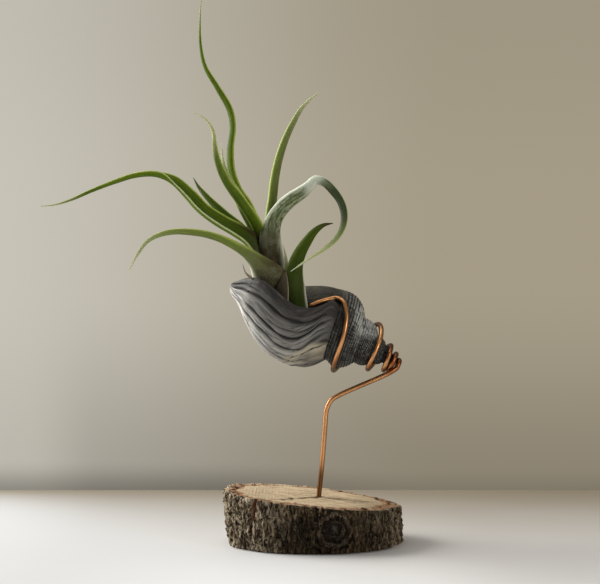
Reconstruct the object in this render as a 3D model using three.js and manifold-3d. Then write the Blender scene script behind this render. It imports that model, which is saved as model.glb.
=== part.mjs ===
// An air plant growing in a whelk shell, held on a bent copper wire over a slice of a log.
// Millimetres, +Z up, X to the right and Y away from the viewer.
// The origin is the middle of the slice's underside.
import * as THREE from "three";
import { mergeVertices } from "three/addons/utils/BufferGeometryUtils.js";
import Module from "manifold-3d";

const wasm = await Module();
wasm.setup();

// ---- driving dimensions ------------------------------------------------------------------------------

const FIT_GAP = 0.32; // clearance left between pieces that lie against each other

const SLICE = {
  radius: 37.2, // of the log, about the pith
  thicknessAtPith: 18.8,
  topFall: 0.103, // how much the slanting cut falls for each millimetre to the right
  lean: -0.09, // how far the bark walls lean for each millimetre of height
  bumps: [[2, 0.012, 0.6], [3, 0.014, 2.1], [5, 0.01, 0.4], [9, 0.008, 1.3]], // waves, share of radius, phase
  edgeRound: 1.2,
};

const WIRE = {
  radius: 1.03, // 12 gauge copper
  holeDepth: 11,
};

const SHELL = {
  length: 78,
  wall: 2.0,
  apex: new THREE.Vector3(34.9, 0, 75.2),
  slope: THREE.MathUtils.degToRad(28.1), // of the axis, falling to the apex
  growth: 1.68, // how much bigger each whorl is than the one before it
  sutureAt: 32.5, // where the last whorl's shoulder starts at the lip, measured from the apex
  belly: 0.12, // how much fuller the spire is below
  bellyEnds: [22, 28], // where along the axis that fullness dies away
  waist: 0.2, // how much the older half of the last whorl draws in
  waistStarts: [26, 52], // where along the axis it draws in
  waistTurns: [0.35, 0.7], // and how far back from the lip, in turns
  droop: 4, // how far the front end hangs below the axis
  droopFrom: 66,
  roundedFrom: 68, // where the front end starts to round off
  roundness: 2.2, // 2 rounds it as a circle, more makes it blunter
  columella: 3.6, // radius of the pillar that the whorls wind round
  columellaStarts: [20, 45],
  columellaThins: [55, 76],
};

// The spiral room inside the shell.
const CAVITY = {
  turns: 1.5,
  past: 0.03, // turns that it is carried past the lip, so that it cuts the mouth open
  end: 74, // furthest from the apex
  endAtLip: 96, // the same, for a whorl of the lip's size, before it is held back to the end
  floor: 0.15, // wall left over the whorl inside
  leastGap: 0.4,
};

// Radius of the last whorl at the lip against distance from the apex. Earlier whorls are smaller copies.
const WHORL = [
  [32.5, 16], [34.2, 18.6], [36.6, 21.3], [40, 23.8], [44, 25.4], [48, 26.0], [55, 25.6],
  [62.5, 23.5], [69.5, 19.6], [76, 14.6], [82.7, 10.2], [90, 6.4], [98, 3.6], [140, 2.0],
];

// Azimuth of the lip's edge about the shell's axis against distance from the apex. 0 is the top, 270 the front.
const LIP = [
  [0, 302], [33, 302], [36.3, 300], [38.6, 289], [42, 279], [46, 274], [50, 272.5], [54, 274],
  [59.5, 277.5], [64, 280], [69, 280.5], [72, 281.5], [75, 284], [78, 288],
];

// Each leaf: the line it follows, its width along that line, the way its hollow side faces at the base,
// and its thickness. Widths are measured straight across, at shares of the leaf's length.
const LEAVES = {
  leaf_low_left: {
    spine: [[-15.8, -14, 100.5], [-19, -15.5, 107.9], [-22.5, -17, 113.6], [-26.2, -18.5, 118.7],
      [-30.8, -19.5, 122.8], [-36.5, -20.5, 125.8], [-43.4, -21, 128], [-50.7, -22, 129],
      [-58, -22.5, 129], [-63.6, -23.5, 127.6], [-68, -24.5, 125], [-71.3, -26, 120.5],
      [-75.2, -27.5, 112.7]],
    widths: [[0, 16], [0.12, 13.6], [0.2, 10], [0.32, 6.8], [0.5, 4.4], [0.7, 3.2], [0.88, 2.2],
      [1, 0.6]],
    face: [0.5, 0.3, 0.8],
    thick: 1.5,
    steps: 18,
  },
  pup_leaf: {
    spine: [[-9.2, -14, 97.2], [-9.4, -16, 104.2], [-8.6, -17.5, 111.2], [-7.3, -18, 116.5],
      [-5.5, -18, 120.8], [-2.8, -17, 125.3], [0.3, -16, 129.5], [3.8, -15, 132.1],
      [7.7, -14, 132.9]],
    widths: [[0, 12], [0.2, 10.6], [0.35, 7.6], [0.5, 5.4], [0.7, 4], [0.85, 2.4], [1, 0.6]],
    face: [-0.6, 0.6, 0.3],
    thick: 1.5,
    steps: 14,
  },
  pup_sheath: {
    spine: [[-13.7, -17, 96.4], [-13.7, -19.5, 102.1], [-13, -20, 107.5], [-11.8, -18, 113.2]],
    widths: [[0, 6.4], [0.5, 5.4], [0.85, 2.6], [1, 0.8]],
    face: [0.4, 0.9, 0],
    thick: 1,
    steps: 7,
  },
  leaf_grey_bent: {
    spine: [[-14.2, -8, 102.9], [-16.3, -8, 112.9], [-17.7, -7.5, 122.1], [-18, -6.5, 129.6],
      [-16.7, -5.5, 134.6], [-14, -5, 139], [-10.1, -4.5, 142.8], [-5.5, -4, 145.9],
      [-2.1, -3.7, 148.7], [0.6, -4, 151.2], [4.1, -5, 150.3], [7.8, -6.5, 146.6],
      [10.7, -8, 142.4], [12.2, -10, 137.3], [11.7, -12.5, 131.8], [8.9, -15.5, 126.6],
      [4.3, -19, 122.4], [-2.7, -23.5, 117.8], [-9.7, -27.5, 112.9]],
    widths: [[0, 10], [0.2, 9.2], [0.28, 6.4], [0.42, 4.8], [0.47, 4], [0.52, 3], [0.7, 2.3],
      [0.9, 1.4], [1, 0.6]],
    face: [-0.6, 0.7, 0.3],
    thick: 1.6,
    steps: 26,
  },
  leaf_long_left: {
    spine: [[-17.9, -9, 109.6], [-21.7, -9, 119.9], [-26.6, -8.5, 126.2], [-32.5, -8, 130.1],
      [-39.1, -7.5, 133.9], [-46.2, -7.5, 138.9], [-52.4, -8, 145.5], [-57.7, -9, 150.4],
      [-63, -10.5, 153.1], [-67.8, -12, 153.8], [-74.4, -13, 152.9], [-82, -14.5, 150.3],
      [-91.3, -16, 146.4], [-100.2, -17, 142.3], [-106.7, -17.5, 140.3], [-112.3, -18, 139.7]],
    widths: [[0, 12], [0.14, 10.6], [0.25, 7.8], [0.4, 5.2], [0.5, 4], [0.7, 2.8], [0.85, 1.8],
      [1, 0.6]],
    face: [0.35, 0.1, 0.9],
    thick: 1.6,
    steps: 22,
  },
  leaf_front: {
    spine: [[-18.8, -7, 113.7], [-21.1, -6.5, 125.4], [-24.8, -7, 133.7], [-30.6, -8, 142.4],
      [-36.6, -9, 150.6], [-40.1, -10, 158.8], [-41.3, -10.5, 165.4], [-41.9, -11.5, 171.1],
      [-44.7, -13, 175.7], [-49.8, -14, 178.7]],
    widths: [[0, 7.4], [0.3, 6.4], [0.5, 5.2], [0.65, 4], [0.82, 2.2], [1, 0.6]],
    face: [0.7, 0.7, 0.4],
    thick: 1.4,
    steps: 17,
  },
  leaf_tall: {
    spine: [[-20.2, -1, 117.2], [-21.9, 0, 126.4], [-27.4, 2, 140.4], [-32.1, 4, 147.7],
      [-34.9, 6.5, 155.5], [-35.5, 8.5, 164.9], [-34.6, 10.5, 174.9], [-36, 12.5, 182.4],
      [-41.3, 14.5, 192], [-46.7, 16, 201.4], [-48.7, 17, 210.8], [-49, 18, 220.9],
      [-48.4, 19.5, 234]],
    widths: [[0, 5.6], [0.25, 5.2], [0.45, 4.4], [0.6, 3.6], [0.8, 2], [1, 0.6]],
    face: [1, 0.6, 0.2],
    thick: 1.4,
    steps: 22,
  },
  leaf_back_right: {
    spine: [[-19.4, 4, 117.3], [-19.2, 6, 127.5], [-18.4, 9, 137.3], [-17.5, 11, 143.8],
      [-16.6, 13.5, 152.5], [-14.9, 16, 161.3], [-12.2, 19, 170.1], [-8.9, 21.5, 177.5],
      [-4.6, 24.5, 185], [2.8, 28, 192.3]],
    widths: [[0, 4.6], [0.3, 4.4], [0.6, 3.6], [0.85, 2.2], [1, 0.6]],
    face: [-0.6, -0.7, 0.3],
    thick: 1.3,
    steps: 15,
  },
  leaf_back_left: {
    spine: [[-21.9, 1, 117.2], [-25.3, 3, 124.8], [-31.3, 6, 131.7], [-38.2, 9, 137.6],
      [-45.2, 12, 144.5], [-49.6, 15, 149.8], [-51.8, 17, 153.8]],
    widths: [[0, 5.4], [0.35, 4.4], [0.7, 3.2], [0.9, 1.6], [1, 0.6]],
    face: [0.5, -0.4, 0.7],
    thick: 1.2,
    steps: 12,
  },
  leaf_pale_tip: {
    spine: [[-21.6, -2.5, 124.4], [-25.3, -2.5, 134.2], [-31.8, -2.5, 144.8], [-37, -2.5, 152.8],
      [-39, -3, 159.5], [-39.6, -3.5, 167]],
    widths: [[0, 4.2], [0.4, 3.2], [0.7, 1.8], [1, 0.6]],
    face: [0.8, -0.3, 0.3],
    thick: 1,
    steps: 11,
  },
  leaf_inner_left: {
    spine: [[-20.7, 4, 117.3], [-23.2, 5, 125.3], [-26.7, 7, 131.7], [-31, 9, 139],
      [-35.1, 11, 146.2]],
    widths: [[0, 4.2], [0.4, 3.6], [0.75, 2.2], [1, 0.6]],
    face: [0.8, -0.3, 0.3],
    thick: 1,
    steps: 9,
  },
  dry_bract: {
    spine: [[-12.6, -11, 104], [-11.8, -13, 110], [-11.5, -13.2, 115.3], [-11.9, -12, 119.5],
      [-12.9, -9.5, 124.1]],
    widths: [[0, 4.4], [0.6, 3], [1, 0.8]],
    face: [-0.7, 0.7, 0],
    thick: 0.8,
    steps: 7,
  },
  dry_tip: {
    spine: [[-20.5, -16.5, 104], [-24.2, -17.5, 109], [-28, -18.6, 112.4], [-29.4, -19, 116]],
    widths: [[0, 2.6], [0.6, 1.6], [1, 0.8]],
    face: [0.7, 0.3, 0.6],
    thick: 0.8,
    steps: 7,
  },
};

// How leaves are formed: how far round the gutter goes, in radians, near the base and further out.
const GUTTER = {
  foldAtBase: 2.0,
  foldAbove: 3.0,
  foldsOver: [0.05, 0.45],
  marginThins: 0.6,
  thickestShare: 0.45, // of the leaf's width
};

const STEM = { base: [-11.5, -10.5, 92], top: [-20, -2.5, 125], radiusAtBase: 4.6, radiusAtTop: 2.4 };

const LEAF_COLOUR = { leaf_grey_bent: "greyLeaf", pup_sheath: "dry", dry_bract: "dry", dry_tip: "dry" };

const COLOURS = {
  bark: [0.2, 0.165, 0.13],
  copper: [0.72, 0.38, 0.2],
  shell: [0.33, 0.33, 0.34],
  leaf: [0.3, 0.42, 0.17],
  greyLeaf: [0.42, 0.5, 0.38],
  dry: [0.55, 0.46, 0.36],
};

// ---- small tools -------------------------------------------------------------------------------------

const Y_AXIS = new THREE.Vector3(0, 1, 0);

const clampedStep = (a, b, x) => THREE.MathUtils.smoothstep(x, a, b);

// The value at x of a hand-drawn line of [x, value] points, eased between them.
function along(points, x) {
  if (x <= points[0][0]) return points[0][1];
  const i = points.findIndex(([at]) => at >= x);
  if (i < 0) return points[points.length - 1][1];
  const slope = (a, b) => (points[b][1] - points[a][1]) / (points[b][0] - points[a][0]);
  const [x0, y0] = points[i - 1];
  const [x1, y1] = points[i];
  const before = slope(Math.max(0, i - 2), i);
  const after = slope(i - 1, Math.min(points.length - 1, i + 1));
  const span = x1 - x0;
  const t = (x - x0) / span;
  return (
    y0 * (2 * t ** 3 - 3 * t ** 2 + 1) + y1 * (3 * t ** 2 - 2 * t ** 3) +
    before * span * (t ** 3 - 2 * t ** 2 + t) + after * span * (t ** 3 - t ** 2)
  );
}

// A closed mesh from rings of equally many points, with both ends capped by the given triangles.
function ringsToGeometry(rings, capTriangles) {
  const count = rings[0].length;
  const positions = rings.flat().flatMap((p) => [p.x, p.y, p.z]);
  const index = [];
  for (let i = 0; i + 1 < rings.length; i++) {
    for (let j = 0; j < count; j++) {
      const a = i * count + j;
      const b = i * count + ((j + 1) % count);
      index.push(a, b, b + count, a, b + count, a + count);
    }
  }
  const last = (rings.length - 1) * count;
  for (const [a, b, c] of capTriangles) index.push(a, c, b, last + a, last + b, last + c);
  const geometry = new THREE.BufferGeometry();
  geometry.setAttribute("position", new THREE.Float32BufferAttribute(positions, 3));
  geometry.setIndex(index);
  return geometry;
}

// End cap of a ring that starts at a point of its own rim and fans out from it.
const fanCap = (count) => Array.from({ length: count - 2 }, (_, i) => [0, i + 1, i + 2]);

// End cap of a ring that runs out along one line and comes back along another, with this many spans on each.
function ladderCap(spans) {
  const last = 2 * spans + 1;
  const cap = [];
  for (let k = 0; k < spans; k++) cap.push([k, k + 1, last - 1 - k], [k, last - 1 - k, last - k]);
  return cap;
}

// A manifold solid of a closed geometry, whichever way its faces were wound.
function solidOf(source) {
  const bare = source.index ? source.toNonIndexed() : source.clone();
  for (const name of Object.keys(bare.attributes)) if (name !== "position") bare.deleteAttribute(name);
  const merged = mergeVertices(bare, 1e-4);
  const all = merged.index.array;
  const triangles = [];
  for (let i = 0; i < all.length; i += 3) {
    const [a, b, c] = [all[i], all[i + 1], all[i + 2]];
    if (a !== b && b !== c && a !== c) triangles.push([a, b, c]);
  }
  const build = (faces) =>
    new wasm.Manifold(
      new wasm.Mesh({
        numProp: 3,
        vertProperties: merged.attributes.position.array,
        triVerts: new Uint32Array(faces.flat()),
      }),
    );
  const made = build(triangles);
  return made.volume() > 0 ? made : build(triangles.map(([a, b, c]) => [a, c, b]));
}

function geometryOf(solid) {
  const mesh = solid.getMesh();
  const geometry = new THREE.BufferGeometry();
  geometry.setAttribute("position", new THREE.BufferAttribute(new Float32Array(mesh.vertProperties), 3));
  geometry.setIndex(new THREE.BufferAttribute(new Uint32Array(mesh.triVerts), 1));
  return geometry;
}

const largestPiece = (solid) => solid.decompose().sort((a, b) => b.volume() - a.volume())[0];

const finish = (colour, roughness, metalness = 0) =>
  new THREE.MeshStandardMaterial({ color: new THREE.Color(...colour), roughness, metalness });

function piece(name, solid, material) {
  const mesh = new THREE.Mesh(geometryOf(solid), material);
  mesh.name = name;
  return mesh;
}

// A round rod along a list of points.
function rodSolid(points, radius, steps, sides = 8) {
  const curve = new THREE.CatmullRomCurve3(points, false, "centripetal");
  const section = new THREE.Shape();
  for (let i = 0; i < sides; i++) {
    const turn = (2 * Math.PI * i) / sides;
    const [x, y] = [radius * Math.cos(turn), radius * Math.sin(turn)];
    if (i === 0) section.moveTo(x, y);
    else section.lineTo(x, y);
  }
  section.closePath();
  return solidOf(new THREE.ExtrudeGeometry(section, { steps, bevelEnabled: false, extrudePath: curve }));
}

// ---- the slice of log --------------------------------------------------------------------------------

function logRadius(turn) {
  const waves = SLICE.bumps.map(([count, share, phase]) => share * Math.sin(count * turn + phase));
  return SLICE.radius * (1 + waves.reduce((sum, wave) => sum + wave, 0));
}

const topHeight = (x) => SLICE.thicknessAtPith - SLICE.topFall * x;

function sliceSolid() {
  const around = 56;
  const ring = (height, inset) =>
    Array.from({ length: around }, (_, i) => {
      const turn = (2 * Math.PI * i) / around;
      const radius = logRadius(turn) - inset;
      const x = radius * Math.cos(turn);
      const z = height(x);
      return new THREE.Vector3(x + SLICE.lean * z, radius * Math.sin(turn), z);
    });
  const rings = [
    ring(() => 0, SLICE.edgeRound),
    ring(() => SLICE.edgeRound, 0),
    ring((x) => topHeight(x) - SLICE.edgeRound, 0),
    ring(topHeight, SLICE.edgeRound),
  ];
  return solidOf(ringsToGeometry(rings, fanCap(around)));
}

// ---- the shell ---------------------------------------------------------------------------------------

const shellAxis = new THREE.Vector3(-Math.cos(SHELL.slope), 0, Math.sin(SHELL.slope));
const shellTop = new THREE.Vector3(Math.sin(SHELL.slope), 0, Math.cos(SHELL.slope));

// A point by its distance from the apex along the axis, its radius and its azimuth in degrees.
// The front end of the axis droops a little.
function shellPoint(distance, radius, azimuth) {
  const turn = THREE.MathUtils.degToRad(azimuth);
  const droop = SHELL.droop * clampedStep(SHELL.droopFrom, SHELL.length, distance) ** 2;
  return SHELL.apex.clone()
    .addScaledVector(shellAxis, distance)
    .addScaledVector(shellTop, radius * Math.cos(turn) - droop)
    .addScaledVector(Y_AXIS, radius * Math.sin(turn));
}

const lipAzimuth = (distance) => along(LIP, distance);

// Rounds off the front end of the shell.
const endRound = (distance) => {
  const rounded = SHELL.length - SHELL.roundedFrom;
  const share = THREE.MathUtils.clamp((distance - SHELL.roundedFrom) / rounded, 0, 1);
  return (1 - share ** SHELL.roundness) ** (1 / SHELL.roundness);
};

const pillarRadius = (distance) =>
  SHELL.columella *
  clampedStep(...SHELL.columellaStarts, distance) *
  (1 - 0.6 * clampedStep(...SHELL.columellaThins, distance));

// Outer radius where the whorl grew to a share turns (0 at the lip, -1 a full turn back) of its way.
function outerRadius(distance, turns) {
  let size = SHELL.growth ** turns;
  while (distance < SHELL.sutureAt * size && size > 1e-3) size /= SHELL.growth;
  const whorl = size * along(WHORL, distance / size);
  const shaped = whorl * belly(distance, turns) * waist(distance, turns);
  return Math.max(shaped, pillarRadius(distance)) * endRound(distance);
}

// The spire hangs a little fuller below than above.
function belly(distance, turns) {
  const azimuth = THREE.MathUtils.degToRad(lipAzimuth(distance) + 360 * turns);
  return 1 + SHELL.belly * (1 - clampedStep(...SHELL.bellyEnds, distance)) * (1 - Math.cos(azimuth)) / 2;
}

// The older half of the last whorl draws in towards the front end.
const waist = (distance, turns) =>
  1 - SHELL.waist * clampedStep(...SHELL.waistStarts, distance) * clampedStep(...SHELL.waistTurns, -turns);

function shellOutside(extra = 0) {
  const columns = 44;
  const rows = 34;
  const rings = [];
  const crowding = 0.6; // how far the rows gather at both ends
  for (let i = 0; i <= columns; i++) {
    const turns = -1 + i / columns;
    const ring = [];
    for (let j = 0; j <= rows; j++) {
      const share = j / rows;
      const eased = (1 - Math.cos(Math.PI * share)) / 2;
      const distance = SHELL.length * THREE.MathUtils.lerp(share, eased, crowding);
      const radius = j === 0 || j === rows ? 0 : outerRadius(distance, turns) + extra;
      ring.push(shellPoint(distance, radius, lipAzimuth(distance) + 360 * turns));
    }
    rings.push(ring);
  }
  const across = rows + 1;
  const index = [];
  for (let i = 0; i <= columns; i++) {
    const next = (i + 1) % (columns + 1);
    for (let j = 0; j < rows; j++) {
      const [a, b, c, d] = [i * across + j, next * across + j, next * across + j + 1, i * across + j + 1];
      index.push(a, b, c, a, c, d);
    }
  }
  const geometry = new THREE.BufferGeometry();
  const positions = rings.flat().flatMap((p) => [p.x, p.y, p.z]);
  geometry.setAttribute("position", new THREE.Float32BufferAttribute(positions, 3));
  geometry.setIndex(index);
  return solidOf(geometry);
}

// The spiral room inside, which opens at the lip.
function shellCavity(shrink = 0) {
  const stepsPerTurn = 22;
  const rows = 9;
  const nudge = 0.25; // step used to find where floor and ceiling part
  const rings = [];
  const steps = Math.round(CAVITY.turns * stepsPerTurn);
  for (let i = 0; i <= steps; i++) {
    const turns = CAVITY.past - (i / steps) * (CAVITY.turns + CAVITY.past);
    const size = SHELL.growth ** turns;
    const ceiling = (d) => outerRadius(d, Math.min(0, turns)) * (turns > 0 ? size : 1) - SHELL.wall - shrink;
    const floor = (d) => Math.max(outerRadius(d, turns - 1), pillarRadius(d)) + CAVITY.floor + shrink;
    let start = SHELL.sutureAt * size;
    while (ceiling(start) - floor(start) < CAVITY.leastGap) start += nudge;
    let end = Math.min(CAVITY.end - shrink, CAVITY.endAtLip * size);
    while (ceiling(end) - floor(end) < CAVITY.leastGap) end -= nudge;
    const outer = [];
    const inner = [];
    for (let k = 0; k <= rows; k++) {
      const d = start + ((end - start) * k) / rows;
      const azimuth = lipAzimuth(d) + 360 * turns;
      outer.push(shellPoint(d, Math.max(ceiling(d), floor(d) + CAVITY.leastGap), azimuth));
      inner.push(shellPoint(d, floor(d), azimuth));
    }
    rings.push([...outer, ...inner.reverse()]);
  }
  return solidOf(ringsToGeometry(rings, ladderCap(rows)));
}

const shellSolid = (grow = 0) => shellOutside(grow).subtract(shellCavity(grow));

// The shell grown by the gap, over its lip as well.
function shellKeepOut() {
  const grown = shellSolid(FIT_GAP);
  const lifted = geometryOf(grown).translate(shellTop.x * FIT_GAP, 0, shellTop.z * FIT_GAP);
  return grown.add(solidOf(lifted));
}

// ---- the wire ----------------------------------------------------------------------------------------

// The wire's foot in the slice, its post and the arm that rises to the shell's tip.
const WIRE_POST = [
  [1.1, 0, SLICE.thicknessAtPith - WIRE.holeDepth], [2, 0, SLICE.thicknessAtPith],
  [3.3, 0, 32], [4.6, -0.4, 48.5], [5.2, -0.8, 55], [7.2, -1, 59.2],
  [10.4, -1.2, 61.3], [18.6, -1.6, 65], [26, -2.4, 68.2], [31.6, -3.4, 70.9],
];

// Where the wire lies round the shell: azimuth, counted on over whole turns, and distance from the apex.
const WIRE_ROUND_SHELL = [
  [-360, 5.4], [-270, 7.2], [-174, 9.5], [-135, 10.2], [-90, 10.7], [-49, 11.3], [0, 13.6],
  [60, 16.4], [120, 19.4], [191, 22.3], [230, 23.9], [264, 25.4], [295, 28.3], [314, 32],
];

// The loose coil past the tip: azimuth, distance from the apex, radius, and how far the coil sags.
const WIRE_COIL = [
  [-1180, -0.9, 2.3, 1.7], [-1080, -0.5, 2.6, 1.6], [-900, 1.8, 3.7, 0.9], [-720, 1.9, 3.7, 0.9],
  [-540, 3.4, 5.2, 0.5], [-420, 4.9, 5.2, 0.3],
];

// The end that turns in at the shell's mouth: distance from the apex, radius and azimuth.
const WIRE_TAIL = [[35.4, 17.1, 321], [37.6, 16, 317], [40.4, 14.2, 305], [43.6, 12.8, 286]];

function wirePoints() {
  const lift = WIRE.radius + FIT_GAP;
  const coil = (azimuth) => {
    const [distance, radius, sag] = [1, 2, 3].map((column) =>
      along(WIRE_COIL.map((row) => [row[0], row[column]]), azimuth));
    return shellPoint(distance, radius, azimuth).addScaledVector(shellTop, -sag);
  };
  const wrap = (azimuth) => {
    const distance = along(WIRE_ROUND_SHELL, azimuth);
    return shellPoint(distance, wireBed(distance, azimuth) + lift, azimuth);
  };
  const spaced = (table, count, place) => {
    const [from, to] = [table[0][0], table[table.length - 1][0]];
    return Array.from({ length: count }, (_, i) => place(THREE.MathUtils.lerp(from, to, i / (count - 1))));
  };
  return [
    ...WIRE_POST.map((p) => new THREE.Vector3(...p)),
    ...spaced(WIRE_COIL, 44, coil),
    ...spaced(WIRE_ROUND_SHELL, 60, wrap),
    ...WIRE_TAIL.map((p) => shellPoint(...p)),
  ];
}

// The shell's radius at an azimuth counted over whole turns, smoothed over the wire's own width.
function wireBed(distance, azimuth) {
  const reach = WIRE.radius * 1.6;
  const nearApex = 0.2;
  let radius = 0;
  for (const step of [-1, -0.5, 0, 0.5, 1]) {
    const d = Math.max(nearApex, distance + step * reach);
    const turns = THREE.MathUtils.euclideanModulo((azimuth - lipAzimuth(d)) / 360, 1) - 1;
    const off = Math.min(1, Math.abs(step * reach) / (WIRE.radius + reach));
    const dip = WIRE.radius * (1 - Math.sqrt(1 - off ** 2));
    radius = Math.max(radius, outerRadius(d, turns) - dip);
  }
  return radius;
}

// ---- the plant ---------------------------------------------------------------------------------------

// A leaf is a gutter: an arc of a circle carried along the spine, thick in the middle and thin at the margins.
function leafSolid(leaf, grow = 0) {
  const points = leaf.spine.map((p) => new THREE.Vector3(...p));
  const curve = new THREE.CatmullRomCurve3(points, false, "centripetal");
  const across = 4;
  const leastRadius = 0.02; // keeps the hollow side from turning inside out where the leaf is narrow
  const face = new THREE.Vector3(...leaf.face);
  const rings = [];
  for (let i = 0; i <= leaf.steps; i++) {
    const share = i / leaf.steps;
    const tangent = curve.getTangentAt(share);
    face.addScaledVector(tangent, -face.dot(tangent)).normalize();
    const side = new THREE.Vector3().crossVectors(tangent, face);
    const centre = curve.getPointAt(share);
    if (i === 0) centre.addScaledVector(tangent, -grow);
    if (i === leaf.steps) centre.addScaledVector(tangent, grow);
    const fold = THREE.MathUtils.lerp(
      GUTTER.foldAtBase, GUTTER.foldAbove, clampedStep(...GUTTER.foldsOver, share));
    const chord = along(leaf.widths, share);
    const bend = chord / 2 / Math.sin(fold / 2);
    const depth = bend * (1 - Math.cos(fold / 2));
    const thick = Math.min(leaf.thick, chord * GUTTER.thickestShare);
    const outer = [];
    const inner = [];
    for (let k = 0; k <= across; k++) {
      const turn = ((k / across) * 2 - 1) * (fold / 2 + grow / bend);
      const margin = Math.abs(k / across - 0.5) * 2;
      const half = (thick / 2) * (1 - GUTTER.marginThins * margin ** 2) + grow;
      const at = (radius) =>
        centre.clone()
          .addScaledVector(side, radius * Math.sin(turn))
          .addScaledVector(face, bend - radius * Math.cos(turn) - depth / 2);
      outer.push(at(bend + half));
      inner.push(at(Math.max(leastRadius, 0.12 * bend - grow, bend - half)));
    }
    rings.push([...outer, ...inner.reverse()]);
  }
  return solidOf(ringsToGeometry(rings, ladderCap(across)));
}

// The short stem that every leaf grows from.
function stemSolid(grow = 0) {
  const from = new THREE.Vector3(...STEM.base);
  const way = new THREE.Vector3(...STEM.top).sub(from);
  const length = way.length() + 2 * grow;
  const shape = new THREE.CylinderGeometry(STEM.radiusAtTop + grow, STEM.radiusAtBase + grow, length, 14, 1);
  shape.translate(0, length / 2 - grow, 0);
  shape.applyQuaternion(new THREE.Quaternion().setFromUnitVectors(Y_AXIS, way.normalize()));
  shape.translate(from.x, from.y, from.z);
  return solidOf(shape);
}

// ---- assembly ----------------------------------------------------------------------------------------

const WIRE_STEPS = 260;
const route = wirePoints();
const wire = rodSolid(route, WIRE.radius, WIRE_STEPS);
const holeBottom = route[0].clone().setZ(route[0].z - FIT_GAP);
const hole = rodSolid([holeBottom, ...route.slice(1, 3)], WIRE.radius + FIT_GAP, 4, 12);

const stand = new THREE.Group();
stand.add(piece("wood_slice", sliceSolid().subtract(hole), finish(COLOURS.bark, 0.9)));
stand.add(piece("copper_wire", wire, finish(COLOURS.copper, 0.3, 1)));
stand.add(piece("sea_shell", shellSolid(), finish(COLOURS.shell, 0.6)));

const plant = new THREE.Group();
const keepOut = shellKeepOut().add(rodSolid(route, WIRE.radius + FIT_GAP, WIRE_STEPS));
const stem = stemSolid().subtract(keepOut);
plant.add(piece("stem", largestPiece(stem), finish(COLOURS.dry, 0.8)));

// Outer leaves keep their whole form; each later leaf is trimmed where it tucks in behind them.
let taken = stemSolid(FIT_GAP).add(keepOut);
for (const [name, leaf] of Object.entries(LEAVES)) {
  const colour = COLOURS[LEAF_COLOUR[name] ?? "leaf"];
  plant.add(piece(name, largestPiece(leafSolid(leaf).subtract(taken)), finish(colour, 0.55)));
  taken = taken.add(leafSolid(leaf, FIT_GAP));
}

const airPlant = new THREE.Group();
airPlant.add(stand, plant);
export default airPlant;
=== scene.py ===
"""An air plant growing in a whelk's shell, held by a bent copper wire over a slice of a log.

Sizes in the tables, functions and finishes are millimetres, X to the right, Y away from the viewer and Z up.
The finished meshes are in metres, round the middle of the slice's underside. The flakes' node tree and the
materials of the table and the wall work in metres too.
"""

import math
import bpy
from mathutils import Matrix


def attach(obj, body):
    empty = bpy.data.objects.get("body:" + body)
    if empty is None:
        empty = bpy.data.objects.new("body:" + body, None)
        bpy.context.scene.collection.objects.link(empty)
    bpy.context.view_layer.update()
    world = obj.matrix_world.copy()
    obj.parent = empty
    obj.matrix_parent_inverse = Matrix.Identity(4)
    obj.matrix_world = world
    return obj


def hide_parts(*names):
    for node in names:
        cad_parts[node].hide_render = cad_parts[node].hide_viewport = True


bl_info = {
    "name": "Air Plant in a Shell",
    "version": (1, 0, 0),
    "blender": (4, 5, 0),
    "location": "3D View > Sidebar > Air Plant",
    "description": "Builds an air plant in a sea snail's shell on a copper wire over a slice of a log",
    "category": "Add Mesh",
}

import bmesh
import bpy
import numpy as np
from bpy.props import FloatProperty, FloatVectorProperty, IntProperty, PointerProperty
from mathutils import Vector

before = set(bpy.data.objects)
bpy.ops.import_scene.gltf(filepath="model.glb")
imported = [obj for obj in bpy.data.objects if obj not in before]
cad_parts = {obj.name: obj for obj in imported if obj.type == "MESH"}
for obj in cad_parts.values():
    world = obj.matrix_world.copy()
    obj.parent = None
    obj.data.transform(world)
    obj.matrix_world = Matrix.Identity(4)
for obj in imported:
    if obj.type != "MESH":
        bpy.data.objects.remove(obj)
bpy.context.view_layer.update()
BODY = "root"
MM = 0.001

# ---- forms shared by the pieces ----

# Radius of the shell's last whorl at the lip against distance from the apex.
WHORL = [
    (32.5, 16), (34.2, 18.6), (36.6, 21.3), (40, 23.8), (44, 25.4), (48, 26.0), (55, 25.6),
    (62.5, 23.5), (69.5, 19.6), (76, 14.6), (82.7, 10.2), (90, 6.4), (98, 3.6), (140, 2.0),
]

# Azimuth of the lip's edge about the shell's axis against distance from the apex. 0 is the top and 270 the
# front.
LIP = [
    (0, 302), (33, 302), (36.3, 300), (38.6, 289), (42, 279), (46, 274), (50, 272.5), (54, 274),
    (59.5, 277.5), (64, 280), (69, 280.5), (72, 281.5), (75, 284), (78, 288),
]

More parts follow.
